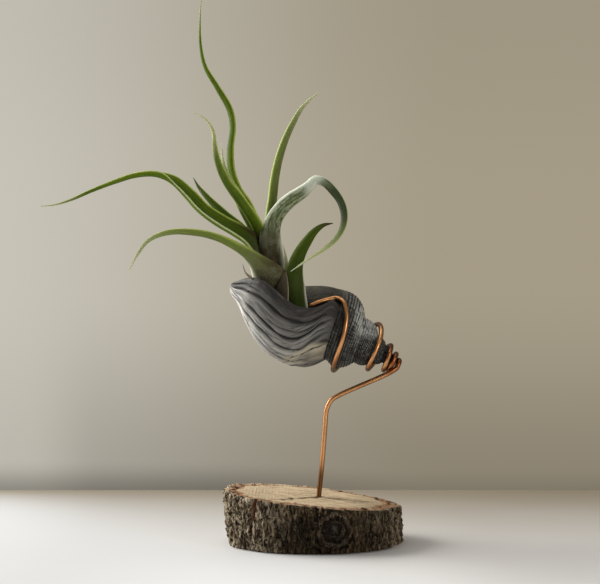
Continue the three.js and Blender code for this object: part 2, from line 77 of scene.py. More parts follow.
# Deep furrows between the great growth ridges: depth, half width in turns and a line of distance and turn.
FURROWS = [
    (0.7, 0.005, [(77, -0.035), (73, -0.031), (68, -0.036), (64, -0.035)]),
    (1.0, 0.006, [
        (75, -0.066), (68, -0.056), (62, -0.047), (55, -0.044), (48, -0.041), (40, -0.049), (35, -0.06)]),
    (0.5, 0.003, [(47, -0.022), (43, -0.024), (36, -0.020)]),
    (0.5, 0.004, [(63, -0.066), (55, -0.062), (50, -0.058)]),
    (0.6, 0.004, [(44, -0.052), (40, -0.055), (35, -0.050)]),
    (0.6, 0.004, [(56, -0.078), (48, -0.072), (43, -0.074), (38, -0.072), (34, -0.055)]),
    (1.0, 0.006, [
        (68, -0.106), (60, -0.098), (52, -0.092), (45, -0.097), (38, -0.095), (35, -0.085), (33, -0.06)]),
    (0.5, 0.004, [(66, -0.122), (58, -0.112), (50, -0.108), (42, -0.118), (36, -0.118), (33, -0.09)]),
    (0.9, 0.006, [
        (68, -0.145), (60, -0.132), (53, -0.122), (48, -0.132), (42, -0.143), (37, -0.16), (32, -0.11)]),
    (0.45, 0.004, [(64, -0.162), (56, -0.152), (48, -0.160), (42, -0.175), (36, -0.20), (32, -0.17)]),
    (0.7, 0.008, [(66, -0.20), (55, -0.179), (48, -0.186), (42, -0.205), (38, -0.235), (34, -0.25)]),
    (0.6, 0.007, [(68, -0.25), (55, -0.225), (45, -0.24), (36, -0.29), (33, -0.28)]),
]

# The wire's foot in the slice, its post and the arm that rises to the shell's tip.
WIRE_POST = [
    (1.1, 0, 7.8), (2, 0, 18.8), (3.3, 0, 32), (4.6, -0.4, 48.5), (5.2, -0.8, 55), (7.2, -1, 59.2),
    (10.4, -1.2, 61.3), (18.6, -1.6, 65), (26, -2.4, 68.2), (31.6, -3.4, 70.9),
]

# Where the wire lies round the shell: azimuth, counted on over whole turns, and distance from the apex.
WIRE_ROUND_SHELL = [
    (-360, 5.4), (-270, 7.2), (-174, 9.5), (-135, 10.2), (-90, 10.7), (-49, 11.3), (0, 13.6),
    (60, 16.4), (120, 19.4), (191, 22.3), (230, 23.9), (264, 25.4), (295, 28.3), (314, 32),
]

# The loose coil past the tip: azimuth, distance from the apex, radius, and how far the coil sags.
WIRE_COIL = [
    (-1180, -0.9, 2.3, 1.7), (-1080, -0.5, 2.6, 1.6), (-900, 1.8, 3.7, 0.9), (-720, 1.9, 3.7, 0.9),
    (-540, 3.4, 5.2, 0.5), (-420, 4.9, 5.2, 0.3),
]

# The end that turns in at the shell's mouth: distance from the apex, radius and azimuth.
WIRE_TAIL = [(35.2, 15.2, 320), (37.6, 14, 315), (40.4, 13, 304), (43.6, 12.2, 286)]

# Each leaf: the line it follows, its width at shares of its length, the way its hollow side faces at the base
# and its thickness. Turn twists it further, in degrees. The masks say where, along the leaf, it is scaly, in
# shade, pale, yellowed, browned or silvery, where above 0 means the right margin and below 0 the left; the
# silvery white is in part a painted glow of light from behind. Edges are the strengths of the left and the
# right rim, whose pale colour is in part a painted glow of light from behind, silver_from and rim_from say
# where across the leaf the silver and the rim begin, ragged tears the margins, and the leaf yellows at the
# share of its length in tip.
LEAVES = {
    "leaf_low_left": {
        "spine": [
            (-15.2, -14, 100.5), (-18, -15.5, 107.9), (-21.8, -17, 113.9), (-26, -18.5, 118.9),
            (-30.8, -19.5, 122.8), (-36.5, -20.5, 125.8), (-43.4, -21, 128), (-50.7, -22, 129),
            (-58, -22.5, 129), (-63.6, -23.5, 127.6), (-68, -24.5, 125), (-71.3, -26, 120.5),
            (-75.2, -27.5, 112.7),
        ],
        "widths": [
            (0, 17), (0.1, 16), (0.17, 13), (0.24, 9), (0.34, 6.7), (0.5, 4.4), (0.7, 3.2), (0.88, 2.2),
            (1, 0.3),
        ],
        "face": (0.5, 0.3, 0.8),
        "turn": [(0, 48), (0.12, 42), (0.22, 20), (0.36, -16), (0.6, 0), (1, 0)],
        "thick": 1.5,
        "scaly": [(0, 1.5), (0.14, 1.3), (0.24, 0.7), (0.4, 0)],
        "shade": [(0, 0.4), (0.2, 0.2), (0.4, 0), (1, 0)],
        "pale": [(0, 0), (0.3, 0), (0.7, 0.08), (0.85, 0.5), (1, 1)],
        "yellowed": [(0, 0), (0.2, 0.06), (0.4, 0.14), (1, 0.24)],
        "browned": [(0, 0.8), (0.1, 0.65), (0.18, 0.45), (0.26, 0), (1, 0)],
        "silver": [(0, 1), (0.26, 1), (0.4, 0.4), (0.6, 0.2), (1, 0)],
        "silver_from": 0.1,
        "tip": 0.95,
    },
    "pup_leaf": {
        "spine": [
            (-7.8, -14, 97.2), (-8.4, -16, 104.2), (-8.2, -17.5, 111.2), (-7.4, -18, 116.5),
            (-5.7, -18, 120.8), (-3, -17, 125.3), (0.2, -16, 129.5), (3.8, -15, 132.1), (7.7, -14, 132.9),
        ],
        "widths": [(0, 11), (0.2, 9.8), (0.35, 7.2), (0.5, 5.3), (0.7, 3.9), (0.85, 2.4), (1, 0.3)],
        "face": (-0.1, 0.9, 0.3),
        "thick": 1.5,
        "scaly": [(0, 0.2), (0.3, 0.1), (0.6, 0)],
        "shade": [(0, 0.95), (0.4, 0.85), (0.7, 0.5), (1, 0.6)],
        "edges": (0.8, 0.35),
        "silver": [(0, -1), (0.3, -0.9), (0.45, 0), (1, 0)],
        "browned": [(0, 0), (0.8, 0), (0.93, 0.75), (1, 0.8)],
        "tip": 2,
    },
    "pup_sheath": {
        "spine": [(-13.7, -17, 96.4), (-13.7, -19.5, 102.1), (-13, -20, 107.5), (-11.8, -18, 113.2)],
        "widths": [(0, 6.4), (0.5, 5.4), (0.85, 2.6), (1, 0.4)],
        "face": (0.4, 0.9, 0),
        "thick": 1,
        "dry": True,
        "scaly": [(0, 0.5), (1, 0.3)],
        "shade": [(0, 0.95), (0.7, 0.85), (1, 0.5)],
    },
    "leaf_grey_bent": {
        "spine": [
            (-14.2, -8, 102.9), (-16.3, -8, 112.9), (-17.7, -7.5, 122.1), (-18, -6.5, 129.6),
            (-16.7, -5.5, 134.6), (-14, -5, 139), (-10.1, -4.5, 142.8), (-5.5, -4, 145.9),
            (-2.1, -3.7, 148.7), (0.6, -4, 151.2), (4.1, -5, 150.3), (7.8, -6.5, 146.6),
            (10.7, -8, 142.4), (12.2, -10, 137.3), (11.7, -12.5, 131.8), (8.9, -15.5, 126.6),
            (4.3, -19, 122.4), (-2.7, -23.5, 117.8), (-9.7, -27.5, 112.9),
        ],
        "widths": [
            (0, 10), (0.2, 9.2), (0.28, 7.0), (0.42, 5.2), (0.47, 4.2), (0.52, 3.5), (0.7, 3), (0.9, 1.6),
            (1, 0.3),
        ],
        "face": (-0.3, 0.85, 0.3),
        "thick": 1.6,
        "grey": True,
        "scaly": [(0, 1.5), (0.18, 1.3), (0.25, 0.4), (0.31, 0.0), (1, 0)],
        "pale": [
            (0, 0), (0.40, 0), (0.43, 0.3), (0.455, 1), (0.5, 1), (0.52, 0.3), (0.545, 0), (0.9, 0.2),
            (1, 0.8),
        ],
        "shade": [(0, 0.4), (0.18, 0.1), (0.25, 0), (1, 0)],
        "edges": (0.7, 1),
        "silver_from": 0.3,
        "silver": [(0, -0.8), (0.18, -0.9), (0.24, 0), (0.28, 0.9), (0.46, 1), (0.52, 0), (1, 0)],
        "tip": 0.9,
    },
    "leaf_long_left": {
        "spine": [
            (-17.9, -9, 109.6), (-21.7, -9, 119.9), (-26.6, -8.5, 126.2), (-32.5, -8, 130.1),
            (-39.1, -7.5, 133.9), (-46.2, -7.5, 138.9), (-52.4, -8, 145.5), (-57.7, -9, 150.4),
            (-63, -10.5, 153.1), (-67.8, -12, 153.8), (-74.4, -13, 152.9), (-82, -14.5, 150.3),
            (-91.3, -16, 146.4), (-100.2, -17, 142.3), (-106.7, -17.5, 140.3), (-112.3, -18, 139.7),
        ],
        "widths": [
            (0, 14), (0.1, 13.4), (0.18, 11), (0.27, 8.8), (0.4, 6.6), (0.5, 5), (0.7, 3.6), (0.85, 2.3),
            (1, 0.3),
        ],
        "face": (0.35, 0.1, 0.9),
        "turn": [(0, -36), (0.2, -42), (0.44, -44), (0.5, -40), (0.56, -2), (0.62, 0), (1, 0)],
        "thick": 1.6,
        "scaly": [(0, 0.9), (0.12, 0.5), (0.2, 0.1), (0.3, 0)],
        "shade": [(0, 0.9), (0.12, 0.7), (0.25, 0.35), (0.45, 0.1), (0.6, 0), (1, 0.2)],
        "rim_from": 0.82,
        "silver": [(0, 0), (0.12, -0.1), (0.24, -0.5), (0.5, -0.5), (0.6, 0), (1, 0)],
        "silver_from": 0.88,
        "tip": 0.95,
    },
    "leaf_front": {
        "spine": [
            (-16.5, -4, 108), (-18.8, -2, 114.5), (-20.9, -2, 125), (-24.8, -5.5, 133.7), (-30.6, -8, 142.4),
            (-36.6, -9, 150.6), (-40.1, -10, 158.8), (-41.3, -10.5, 165.4), (-41.9, -11.5, 171.1),
            (-44.7, -13, 175.7), (-49.8, -14, 178.7),
        ],
        "widths": [(0, 7.4), (0.3, 6.4), (0.5, 5.2), (0.65, 4), (0.82, 2.2), (1, 0.3)],
        "face": (0.7, 0.7, 0.4),
        "thick": 1.4,
        "scaly": [(0, 0.7), (0.15, 0.3), (0.35, 0)],
        "shade": [(0, 0.8), (0.16, 0.6), (0.34, 0), (1, 0)],
        "pale": [(0, 0), (0.8, 0.1), (0.92, 0.5), (1, 0.8)],
        "tip": 0.82,
    },
    "leaf_tall": {
        "spine": [
            (-16.8, -4, 108), (-19.8, -1.5, 116.5), (-21.9, 0, 126.4), (-27.4, 2, 140.4), (-32.1, 4, 147.7),
            (-34.9, 6.5, 155.5), (-35.5, 8.5, 164.9), (-34.6, 10.5, 174.9), (-36, 12.5, 182.4),
            (-41.3, 14.5, 192), (-46.7, 16, 201.4), (-48.7, 17, 210.8), (-49, 18, 220.9), (-48.4, 19.5, 234),
        ],
        "widths": [(0, 5.6), (0.25, 5.2), (0.45, 4.4), (0.6, 3.6), (0.8, 2), (1, 0.3)],
        "face": (1, 0.6, 0.2),
        "thick": 1.4,
        "scaly": [(0, 0.4), (0.2, 0)],
        "tip": 0.95,
    },
    "leaf_back_right": {
        "spine": [
            (-16.5, -4, 106), (-18.8, 0, 112), (-19.4, 3.5, 119), (-19.2, 6, 127.5), (-18.4, 9, 137.3),
            (-17.5, 11, 143.8), (-16.6, 13.5, 152.5), (-14.9, 16, 161.3), (-12.2, 19, 170.1),
            (-8.9, 21.5, 177.5), (-4.6, 24.5, 185), (2.8, 28, 192.3),
        ],
        "widths": [(0, 4.6), (0.3, 4.4), (0.6, 3.6), (0.85, 2.2), (1, 0.3)],
        "face": (-0.5, 0.8, 0.3),
        "thick": 1.3,
        "scaly": [(0, 0.3), (0.2, 0), (1, 0)],
        "yellowed": [(0, 0.1), (0.5, 0.14), (1, 0.2)],
        "rim_from": 0.6,
        "pale": [(0, 0), (0.5, 0.05), (0.8, 0.2), (0.9, 0.7), (1, 1)],
        "tip": 0.95,
    },
    "leaf_back_left": {
        "spine": [
            (-17, -4, 108), (-20.6, -1.5, 115.5), (-25.3, 3, 124.8), (-31.3, 6, 131.7), (-38.2, 9, 137.6),
            (-45.2, 12, 144.5), (-49.6, 15, 149.8), (-51.8, 17, 153.8),
        ],
        "widths": [(0, 6), (0.3, 5.2), (0.5, 4.4), (0.76, 3.2), (0.92, 1.6), (1, 0.3)],
        "face": (0.45, 0.7, 0.5),
        "thick": 1.2,
        "shade": [(0, 0.8), (0.6, 0.65), (1, 0.4)],
        "browned": [(0, 0), (0.8, 0), (0.95, 0.5), (1, 0.6)],
        "tip": 2,
    },
    "leaf_pale_tip": {
        "spine": [
            (-21.4, -2.5, 124.4), (-24.9, -2.5, 134.2), (-31, -2.5, 144.8), (-35.9, -2.5, 152.8),
            (-38.1, -3, 159.5), (-38.8, -3.5, 167),
        ],
        "widths": [(0, 4.2), (0.4, 3.6), (0.7, 2.4), (1, 0.3)],
        "face": (0.8, 0.5, 0.3),
        "thick": 1,
        "pale": [(0, 0.1), (0.4, 0.25), (0.7, 0.6), (1, 1)],
        "tip": 0.95,
    },
    "leaf_inner_left": {
        "spine": [
            (-16.8, -3, 108), (-20, 1, 116), (-23.2, 5, 125.3), (-26.7, 7, 131.7), (-31, 9, 139),
            (-35.1, 11, 146.2),
        ],
        "widths": [(0, 5), (0.5, 3.8), (0.8, 2.2), (1, 0.3)],
        "face": (0.8, 0.5, 0.3),
        "thick": 1,
        "shade": [(0, 0.7), (1, 0.4)],
        "tip": 0.9,
    },
    "dry_bract": {
        "spine": [
            (-12.6, -11, 104), (-11.8, -13, 110), (-11.5, -13.2, 115.3), (-11.9, -12, 119.5),
            (-12.9, -9.5, 124.1),
        ],
        "widths": [(0, 3), (0.6, 1.8), (1, 0.4)],
        "face": (-0.7, 0.7, 0),
        "thick": 0.5,
        "dry": True,
        "pale": [(0, 0.3), (0.4, 0.8), (1, 1)],
        "ragged": 0.5,
    },
    "dry_tip": {
        "spine": [(-20.5, -16.5, 104), (-24.2, -17.5, 109), (-28, -18.6, 112.4), (-29.4, -19, 116)],
        "widths": [(0, 2.6), (0.6, 1.6), (1, 0.2)],
        "face": (0.7, 0.3, 0.6),
        "thick": 0.6,
        "dry": True,
        "ragged": 0.2,
    },
}

STEM_BASE = (-11.5, -10.5, 92)
STEM_TOP = (-20, -2.5, 125)


# ---- sizes and colours that a user may change ----


def colour(name, description, default):
    return FloatVectorProperty(
        name=name, description=description, subtype="COLOR", size=3, min=0, max=1, default=default)


def length(name, description, default, low=0.0, high=200.0):
    """A length in millimetres."""
    return FloatProperty(name=name + " (mm)", description=description, default=default, min=low, max=high)


class SliceSettings(bpy.types.PropertyGroup):
    """The slice of log."""

    radius: length("Radius", "Radius of the log about its pith", 36.6, 10, 80)
    thickness: length("Thickness", "Thickness of the slice at the pith", 18.8, 5, 60)
    top_fall: FloatProperty(
        name="Top fall", description="Fall of the slanting cut to the right", default=0.103)
    lean: FloatProperty(
        name="Lean", description="Lean of the bark walls for each unit of height", default=-0.085)
    bark_depth: length("Bark depth", "How deep the furrows in the bark are", 1.7, 0, 4)
    flakes: IntProperty(name="Flakes", description="Loose flakes on the bark", default=1500, min=0, max=6000)
    wood: colour("Wood", "Sawn wood", (0.52, 0.405, 0.255))
    bark: colour("Bark", "Outer bark", (0.062, 0.040, 0.020))


class WireSettings(bpy.types.PropertyGroup):
    """The copper wire."""

    radius: length("Radius", "Radius of the wire", 1.03, 0.3, 3)
    copper: colour("Copper", "Bare copper", (0.72, 0.36, 0.15))


class ShellSettings(bpy.types.PropertyGroup):
    """The shell."""

    length: length("Length", "Length from the apex to the front end", 76.9, 30, 150)
    wall: length("Wall", "Thickness of the wall", 2.0, 0.5, 5)
    growth: FloatProperty(name="Growth", description="Size of a whorl over the one before it", default=1.68)
    ridges: IntProperty(name="Ridges", description="Growth ridges in one turn", default=38, min=4, max=80)
    ridge_height: length("Ridge height", "Height of the growth ridges", 1.15, 0, 2)
    cords: IntProperty(name="Cords", description="Spiral cords on each whorl", default=11, min=0, max=40)
    cord_height: length("Cord height", "Height of the spiral cords", 0.16, 0, 1)
    dark: colour("Dark", "Dark grey of the grooves and the spire", (0.018, 0.017, 0.018))
    pale: colour("Pale", "Pale grey of the worn ridges", (0.24, 0.23, 0.215))


class PlantSettings(bpy.types.PropertyGroup):
    """The plant."""

    spacing: length("Spacing", "Distance between rings of a leaf's mesh", 0.7, 0.3, 4)
    green: colour("Green", "Middle of a leaf", (0.078, 0.130, 0.003))
    rim: colour("Rim", "Pale margin of a leaf", (0.44, 0.53, 0.10))
    scales: colour("Scales", "Silvery scales at the leaf bases", (0.125, 0.125, 0.072))
    dry: colour("Dry", "Dry papery bits", (0.20, 0.15, 0.09))


class StageSettings(bpy.types.PropertyGroup):
    """The table, wall, light and camera."""

    table: colour("Table", "Table top", (0.69, 0.70, 0.72))
    wall: colour("Wall", "Wall behind", (0.375, 0.328, 0.243))
    window: FloatProperty(name="Window", description="Power of the window light", default=35, subtype="POWER")
    fill: FloatProperty(name="Fill", description="Strength of the light all round", default=0.1)


class AirPlantSettings(bpy.types.PropertyGroup):
    """Everything that a user may change."""

    slice: PointerProperty(type=SliceSettings)
    wire: PointerProperty(type=WireSettings)
    shell: PointerProperty(type=ShellSettings)
    plant: PointerProperty(type=PlantSettings)
    stage: PointerProperty(type=StageSettings)


# ---- number tools ----


def smooth(low, high, x):
    """0 below low, 1 above high and an eased step between them."""
    t = np.clip((np.asarray(x, float) - low) / (high - low), 0, 1)
    return t * t * (3 - 2 * t)


def along(points, x):
    """The value at x of a line of given (x, value) points, eased between them."""
    table = np.array(points, float)
    px, py = table[:, 0], table[:, 1]
    x = np.clip(np.asarray(x, float), px[0], px[-1])
    i = np.clip(np.searchsorted(px, x, side="left"), 1, len(px) - 1)
    first = np.maximum(0, i - 2)
    last = np.minimum(len(px) - 1, i + 1)
    before = (py[i] - py[first]) / (px[i] - px[first])
    after = (py[last] - py[i - 1]) / (px[last] - px[i - 1])
    span = px[i] - px[i - 1]
    t = (x - px[i - 1]) / span
    return (
        py[i - 1] * (2 * t**3 - 3 * t**2 + 1)
        + py[i] * (3 * t**2 - 2 * t**3)
        + before * span * (t**3 - 2 * t**2 + t)
        + after * span * (t**3 - t**2)
    )


def lattice(ix, iy, iz, seed):
    """A number from 0 to 1 for each whole point."""
    n = (ix * 374761393 + iy * 668265263 + iz * 1442695041 + seed * 1274126177) & 0xFFFFFFFF
    n = ((n ^ (n >> 13)) * 1274126177) & 0xFFFFFFFF
    return ((n ^ (n >> 16)) & 0xFFFF) / 65535.0


def noise(points, seed=0):
    """Smooth noise from -1 to 1 at points along the last axis."""
    cell = np.floor(points).astype(np.int64)
    f = points - cell
    f = f**3 * (f * (f * 6 - 15) + 10)
    total = np.zeros(points.shape[:-1])
    for corner in np.ndindex(2, 2, 2):
        weight = np.ones(points.shape[:-1])
        for axis, up in enumerate(corner):
            weight = weight * (f[..., axis] if up else 1 - f[..., axis])
        total += weight * lattice(*(cell[..., axis] + corner[axis] for axis in range(3)), seed)
    return total * 2 - 1


def fractal(points, octaves, seed=0):
    """Noise summed over octaves, each half as strong and twice as fine."""
    return sum(noise(points * 2**k, seed + k) / 2**k for k in range(octaves))


def stack(*parts):
    """Arrays side by side along a new last axis."""
    return np.stack(np.broadcast_arrays(*parts), axis=-1)


def unit(vectors):
    return vectors / np.linalg.norm(vectors, axis=-1, keepdims=True)


class Route:
    """A smooth line through points, by the centripetal Catmull-Rom rule."""

    def __init__(self, points, per_span=24):
        p = np.array(points, float)
        p = np.vstack([2 * p[0] - p[1], p, 2 * p[-1] - p[-2]])
        t = np.linspace(0, 1, per_span, endpoint=False)[:, None]
        spans = []
        for a, b, c, d in zip(p[:-3], p[1:-2], p[2:-1], p[3:]):
            k0, k1, k2 = (math.sqrt(np.linalg.norm(v)) for v in (b - a, c - b, d - c))
            out = ((b - a) / k0 - (c - a) / (k0 + k1) + (c - b) / k1) * k1
            into = ((c - b) / k1 - (d - b) / (k1 + k2) + (d - c) / k2) * k1
            square = -3 * b + 3 * c - 2 * out - into
            cube = 2 * b - 2 * c + out + into
            spans.append(b + out * t + square * t**2 + cube * t**3)
        self.points = np.vstack([*spans, p[-2]])
        steps = np.linalg.norm(np.diff(self.points, axis=0), axis=1)
        self.run = np.concatenate([[0], np.cumsum(steps)])
        self.length = self.run[-1]

    def at(self, shares):
        """The points at shares of the line's length."""
        run = np.asarray(shares) * self.length
        return stack(*(np.interp(run, self.run, self.points[:, k]) for k in range(3)))

    def ways(self, shares):
        """The ways that the line goes there."""
        reach = 0.4 / self.length
        return unit(self.at(np.minimum(shares + reach, 1)) - self.at(np.maximum(shares - reach, 0)))


# ---- mesh tools ----


def mesh_object(name, points, faces, materials, values=None, face_materials=None, edges=()):
    """A mesh object at the origin from points in millimetres, with named values at its points."""
    mesh = bpy.data.meshes.new(name)
    mesh.from_pydata((np.asarray(points) * MM).tolist(), edges, faces)
    for material in materials:
        mesh.materials.append(material)
    for key, numbers in (values or {}).items():
        put_values(mesh, key, numbers)
    if face_materials is not None:
        mesh.polygons.foreach_set("material_index", face_materials)
    mesh.shade_smooth()
    mesh.update()
    made = bpy.data.objects.new(name, mesh)
    bpy.context.scene.collection.objects.link(made)
    return made


def put_values(mesh, name, numbers):
    """Stores one number for each point of the mesh."""
    layer = mesh.attributes.new(name, "FLOAT", "POINT")
    layer.data.foreach_set("value", np.asarray(numbers, np.float32).ravel())


def places(mesh):
    """A mesh's points in millimetres."""
    flat = np.empty(len(mesh.vertices) * 3, np.float32)
    mesh.vertices.foreach_get("co", flat)
    return flat.reshape(-1, 3).astype(float) / MM


def grid_faces(rings, count):
    """Quads between rings of count points each, which close on themselves."""
    faces = []
    for i in range(rings - 1):
        a, b = i * count, (i + 1) * count
        for j in range(count):
            k = (j + 1) % count
            faces.append((a + j, a + k, b + k, b + j))
    return faces


def apply_modifiers(made):
    """Turns the object's modifiers into its plain mesh."""
    seen = made.evaluated_get(bpy.context.evaluated_depsgraph_get())
    mesh = bpy.data.meshes.new_from_object(seen)
    old = made.data
    made.modifiers.clear()
    made.data = mesh
    mesh.name = old.name + "_finished"
    bpy.data.meshes.remove(old)


def face_outwards(mesh):
    """Merges doubled points, drops faces without area and turns all faces outwards."""
    work = bmesh.new()
    work.from_mesh(mesh)
    bmesh.ops.remove_doubles(work, verts=work.verts, dist=0.002 * MM)
    bmesh.ops.dissolve_degenerate(work, dist=0.001 * MM, edges=work.edges)
    bmesh.ops.recalc_face_normals(work, faces=work.faces)
    work.to_mesh(mesh)
    work.free()


def settle(made, node):
    """The finished piece rides on the body and stands for its node."""
    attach(made, BODY)
    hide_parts(node)


# ---- node tools ----


FLOAT = "NodeSocketFloat"
WHOLE = "NodeSocketInt"
COLOUR = "NodeSocketColor"
VECTOR = "NodeSocketVector"
MATERIAL = "NodeSocketMaterial"
BLACK = (0, 0, 0, 1)


class Graph:
    """Adds and links the nodes of one tree."""

    def __init__(self, tree):
        self.tree = tree

    def feed(self, socket, value):
        if isinstance(value, bpy.types.NodeSocket):
            self.tree.links.new(value, socket)
        elif isinstance(value, tuple) and len(value) == 3 and socket.type == "RGBA":
            socket.default_value = (*value, 1)
        else:
            socket.default_value = value

    def add(self, kind, sockets=None, **settings):
        made = self.tree.nodes.new(kind)
        for name, value in settings.items():
            setattr(made, name, value)
        for name, value in (sockets or {}).items():
            self.feed(made.inputs[name], value)
        return made

    def math(self, operation, *values):
        made = self.add("ShaderNodeMath", operation=operation)
        for socket, value in zip(made.inputs, values):
            self.feed(socket, value)
        return made.outputs[0]

    def times(self, first, *others):
        """All the values multiplied, from the left."""
        for other in others:
            first = self.math("MULTIPLY", first, other)
        return first

    def times_plus(self, first, second, added):
        return self.math("MULTIPLY_ADD", first, second, added)

    def plus(self, first, second):
        return self.math("ADD", first, second)

    def minus(self, first, second):
        return self.math("SUBTRACT", first, second)

    def most(self, first, second):
        return self.math("MAXIMUM", first, second)

    def sine(self, value):
        return self.math("SINE", value)

    def logarithm(self, value):
        return self.math("LOGARITHM", value, math.e)

    def vector(self, x=0.0, y=0.0, z=0.0):
        return self.add("ShaderNodeCombineXYZ", {"X": x, "Y": y, "Z": z}).outputs[0]

    def apart(self, vector):
        """The X, the Y and the Z of a vector."""
        return self.add("ShaderNodeSeparateXYZ", {"Vector": vector}).outputs

    def length(self, vector):
        return self.add("ShaderNodeVectorMath", {"Vector": vector}, operation="LENGTH").outputs["Value"]

    def scaled(self, vector, scale):
        """The vector times three numbers."""
        made = self.add("ShaderNodeVectorMath", operation="MULTIPLY")
        self.feed(made.inputs[0], vector)
        made.inputs[1].default_value = scale
        return made.outputs[0]

    def stretched(self, vector, share):
        """The vector times one value."""
        made = self.add("ShaderNodeVectorMath", {"Scale": share}, operation="SCALE")
        self.feed(made.inputs[0], vector)
        return made.outputs[0]

    def noise(self, vector, scale, detail=3.0, roughness=0.5, distortion=0.0):
        made = self.add("ShaderNodeTexNoise", {
            "Vector": vector, "Scale": scale, "Detail": detail, "Roughness": roughness,
            "Distortion": distortion})
        return made.outputs[0]

    def noise_over(self, first, second, across, onward, detail, roughness=0.5):
        """Noise over a skin, by two measures on it that are scaled by across and onward."""
        where = self.vector(self.times(first, across), self.times(second, onward))
        return self.noise(where, 1.0, detail, roughness)

    def step(self, value, low, high, at_low=0.0, at_high=1.0):
        """An eased step of the value from low to high."""
        made = self.add("ShaderNodeMapRange", {
            "Value": value, "From Min": low, "From Max": high, "To Min": at_low, "To Max": at_high,
        }, interpolation_type="SMOOTHSTEP")
        return made.outputs[0]

    def mix(self, share, a, b):
        """The share, from 0 to 1, of colour b over colour a."""
        made = self.add("ShaderNodeMix", data_type="RGBA", clamp_factor=True)
        for socket, value in ((0, share), (6, a), (7, b)):
            self.feed(made.inputs[socket], value)
        return made.outputs[2]

    def attribute(self, name):
        return self.add("ShaderNodeAttribute", attribute_name=name).outputs["Fac"]


class GeometryGraph(Graph):
    """A geometry tree with one geometry in and one out, and named inputs."""

    def __init__(self, name, inputs):
        super().__init__(bpy.data.node_groups.new(name, "GeometryNodeTree"))
        face = self.tree.interface
        face.new_socket("Geometry", in_out="INPUT", socket_type="NodeSocketGeometry")
        self.sockets = {}
        for key, kind in inputs.items():
            self.sockets[key] = face.new_socket(key, in_out="INPUT", socket_type=kind).identifier
        face.new_socket("Geometry", in_out="OUTPUT", socket_type="NodeSocketGeometry")
        self.inputs = self.add("NodeGroupInput").outputs

    def attribute(self, name):
        made = self.add("GeometryNodeInputNamedAttribute", {"Name": name}, data_type="FLOAT")
        return made.outputs["Attribute"]

    def store(self, geometry, name, value):
        made = self.add("GeometryNodeStoreNamedAttribute", {"Geometry": geometry, "Name": name},
                        data_type="FLOAT", domain="POINT")
        self.feed(made.inputs["Value"], value)
        return made.outputs[0]

    def on(self, geometry, kind, sockets=None):
        """Puts a geometry through one node."""
        return self.add("GeometryNode" + kind, {"Geometry": geometry, **(sockets or {})}).outputs[0]

    def pushed(self, geometry, height):
        """Moves the points out along their normals."""
        normal = self.add("GeometryNodeInputNormal").outputs[0]
        return self.on(geometry, "SetPosition", {"Offset": self.stretched(normal, height)})

    def coated(self, geometry, material):
        """Makes all instances real and gives everything one material."""
        return self.on(self.on(geometry, "RealizeInstances"), "SetMaterial", {"Material": material})

    def random_vector(self, low, high, seed):
        made = self.add("FunctionNodeRandomValue", {"Seed": seed}, data_type="FLOAT_VECTOR")
        made.inputs[0].default_value = low
        made.inputs[1].default_value = high
        return made.outputs[0]

    def finish(self, geometry):
        self.add("NodeGroupOutput", {"Geometry": geometry})

    def apply_to(self, made, values):
        """Runs the tree on an object, with its inputs set by identifier, and keeps the result as a mesh."""
        modifier = made.modifiers.new(self.tree.name, "NODES")
        modifier.node_group = self.tree
        for key, value in values.items():
            modifier[self.sockets[key]] = value
        apply_modifiers(made)


def shader_group(name, inputs, outputs, fill):
    """A shader node group that fill(graph, inputs) fills. It is built once."""
    if name in bpy.data.node_groups:
        return bpy.data.node_groups[name]
    tree = bpy.data.node_groups.new(name, "ShaderNodeTree")
    for key, (kind, default) in inputs.items():
        tree.interface.new_socket(key, in_out="INPUT", socket_type=kind).default_value = default
    for key, kind in outputs.items():
        tree.interface.new_socket(key, in_out="OUTPUT", socket_type=kind)
    graph = Graph(tree)
    made = fill(graph, graph.add("NodeGroupInput").outputs)
    graph.add("NodeGroupOutput", made)
    return tree


def finish_material(name, build, **fixed):
    """A material whose Principled shader has the fixed values and whatever build(graph) links to it."""
    if name in bpy.data.materials:
        return bpy.data.materials[name]
    made = bpy.data.materials.new(name)
    made.use_nodes = True
    graph = Graph(made.node_tree)
    shader = made.node_tree.nodes["Principled BSDF"]
    for key, value in fixed.items():
        shader.inputs[key].default_value = value
    for key, value in build(graph).items():
        graph.feed(shader.inputs[key], value)
    return made


def object_millimetres(graph):
    coordinates = graph.add("ShaderNodeTexCoord").outputs["Object"]
    return graph.scaled(coordinates, (1 / MM, 1 / MM, 1 / MM))


def fill_mottle(graph, given):
    """Breaks a colour up with soft patches and fine specks of a second colour."""
    patches = graph.noise(given["Vector"], given["Patch Scale"], 4, 0.55)
    specks = graph.noise(given["Vector"], given["Speck Scale"], 2, 0.6)
    patch = graph.times(graph.step(patches, 0.42, 0.68), given["Patches"])
    speck = graph.times(graph.step(specks, 0.55, 0.72), given["Specks"])
    mask = graph.most(patch, speck)
    return {"Color": graph.mix(mask, given["Color"], given["Other"]), "Mask": mask}


def mottle(graph, vector, colour_in, other, patch_scale, speck_scale, patches, specks):
    """The mottled colour and the mask of its patches and specks."""
    group = shader_group(
        "mottle",
        {
            "Vector": (VECTOR, (0, 0, 0)), "Color": (COLOUR, BLACK), "Other": (COLOUR, BLACK),
            "Patch Scale": (FLOAT, 1.0), "Speck Scale": (FLOAT, 5.0),
            "Patches": (FLOAT, 1.0), "Specks": (FLOAT, 1.0),
        },
        {"Color": COLOUR, "Mask": FLOAT},
        fill_mottle,
    )
    made = graph.add("ShaderNodeGroup", {
        "Vector": vector, "Color": colour_in, "Other": other, "Patch Scale": patch_scale,
        "Speck Scale": speck_scale, "Patches": patches, "Specks": specks,
    }, node_tree=group)
    return made.outputs["Color"], made.outputs["Mask"]


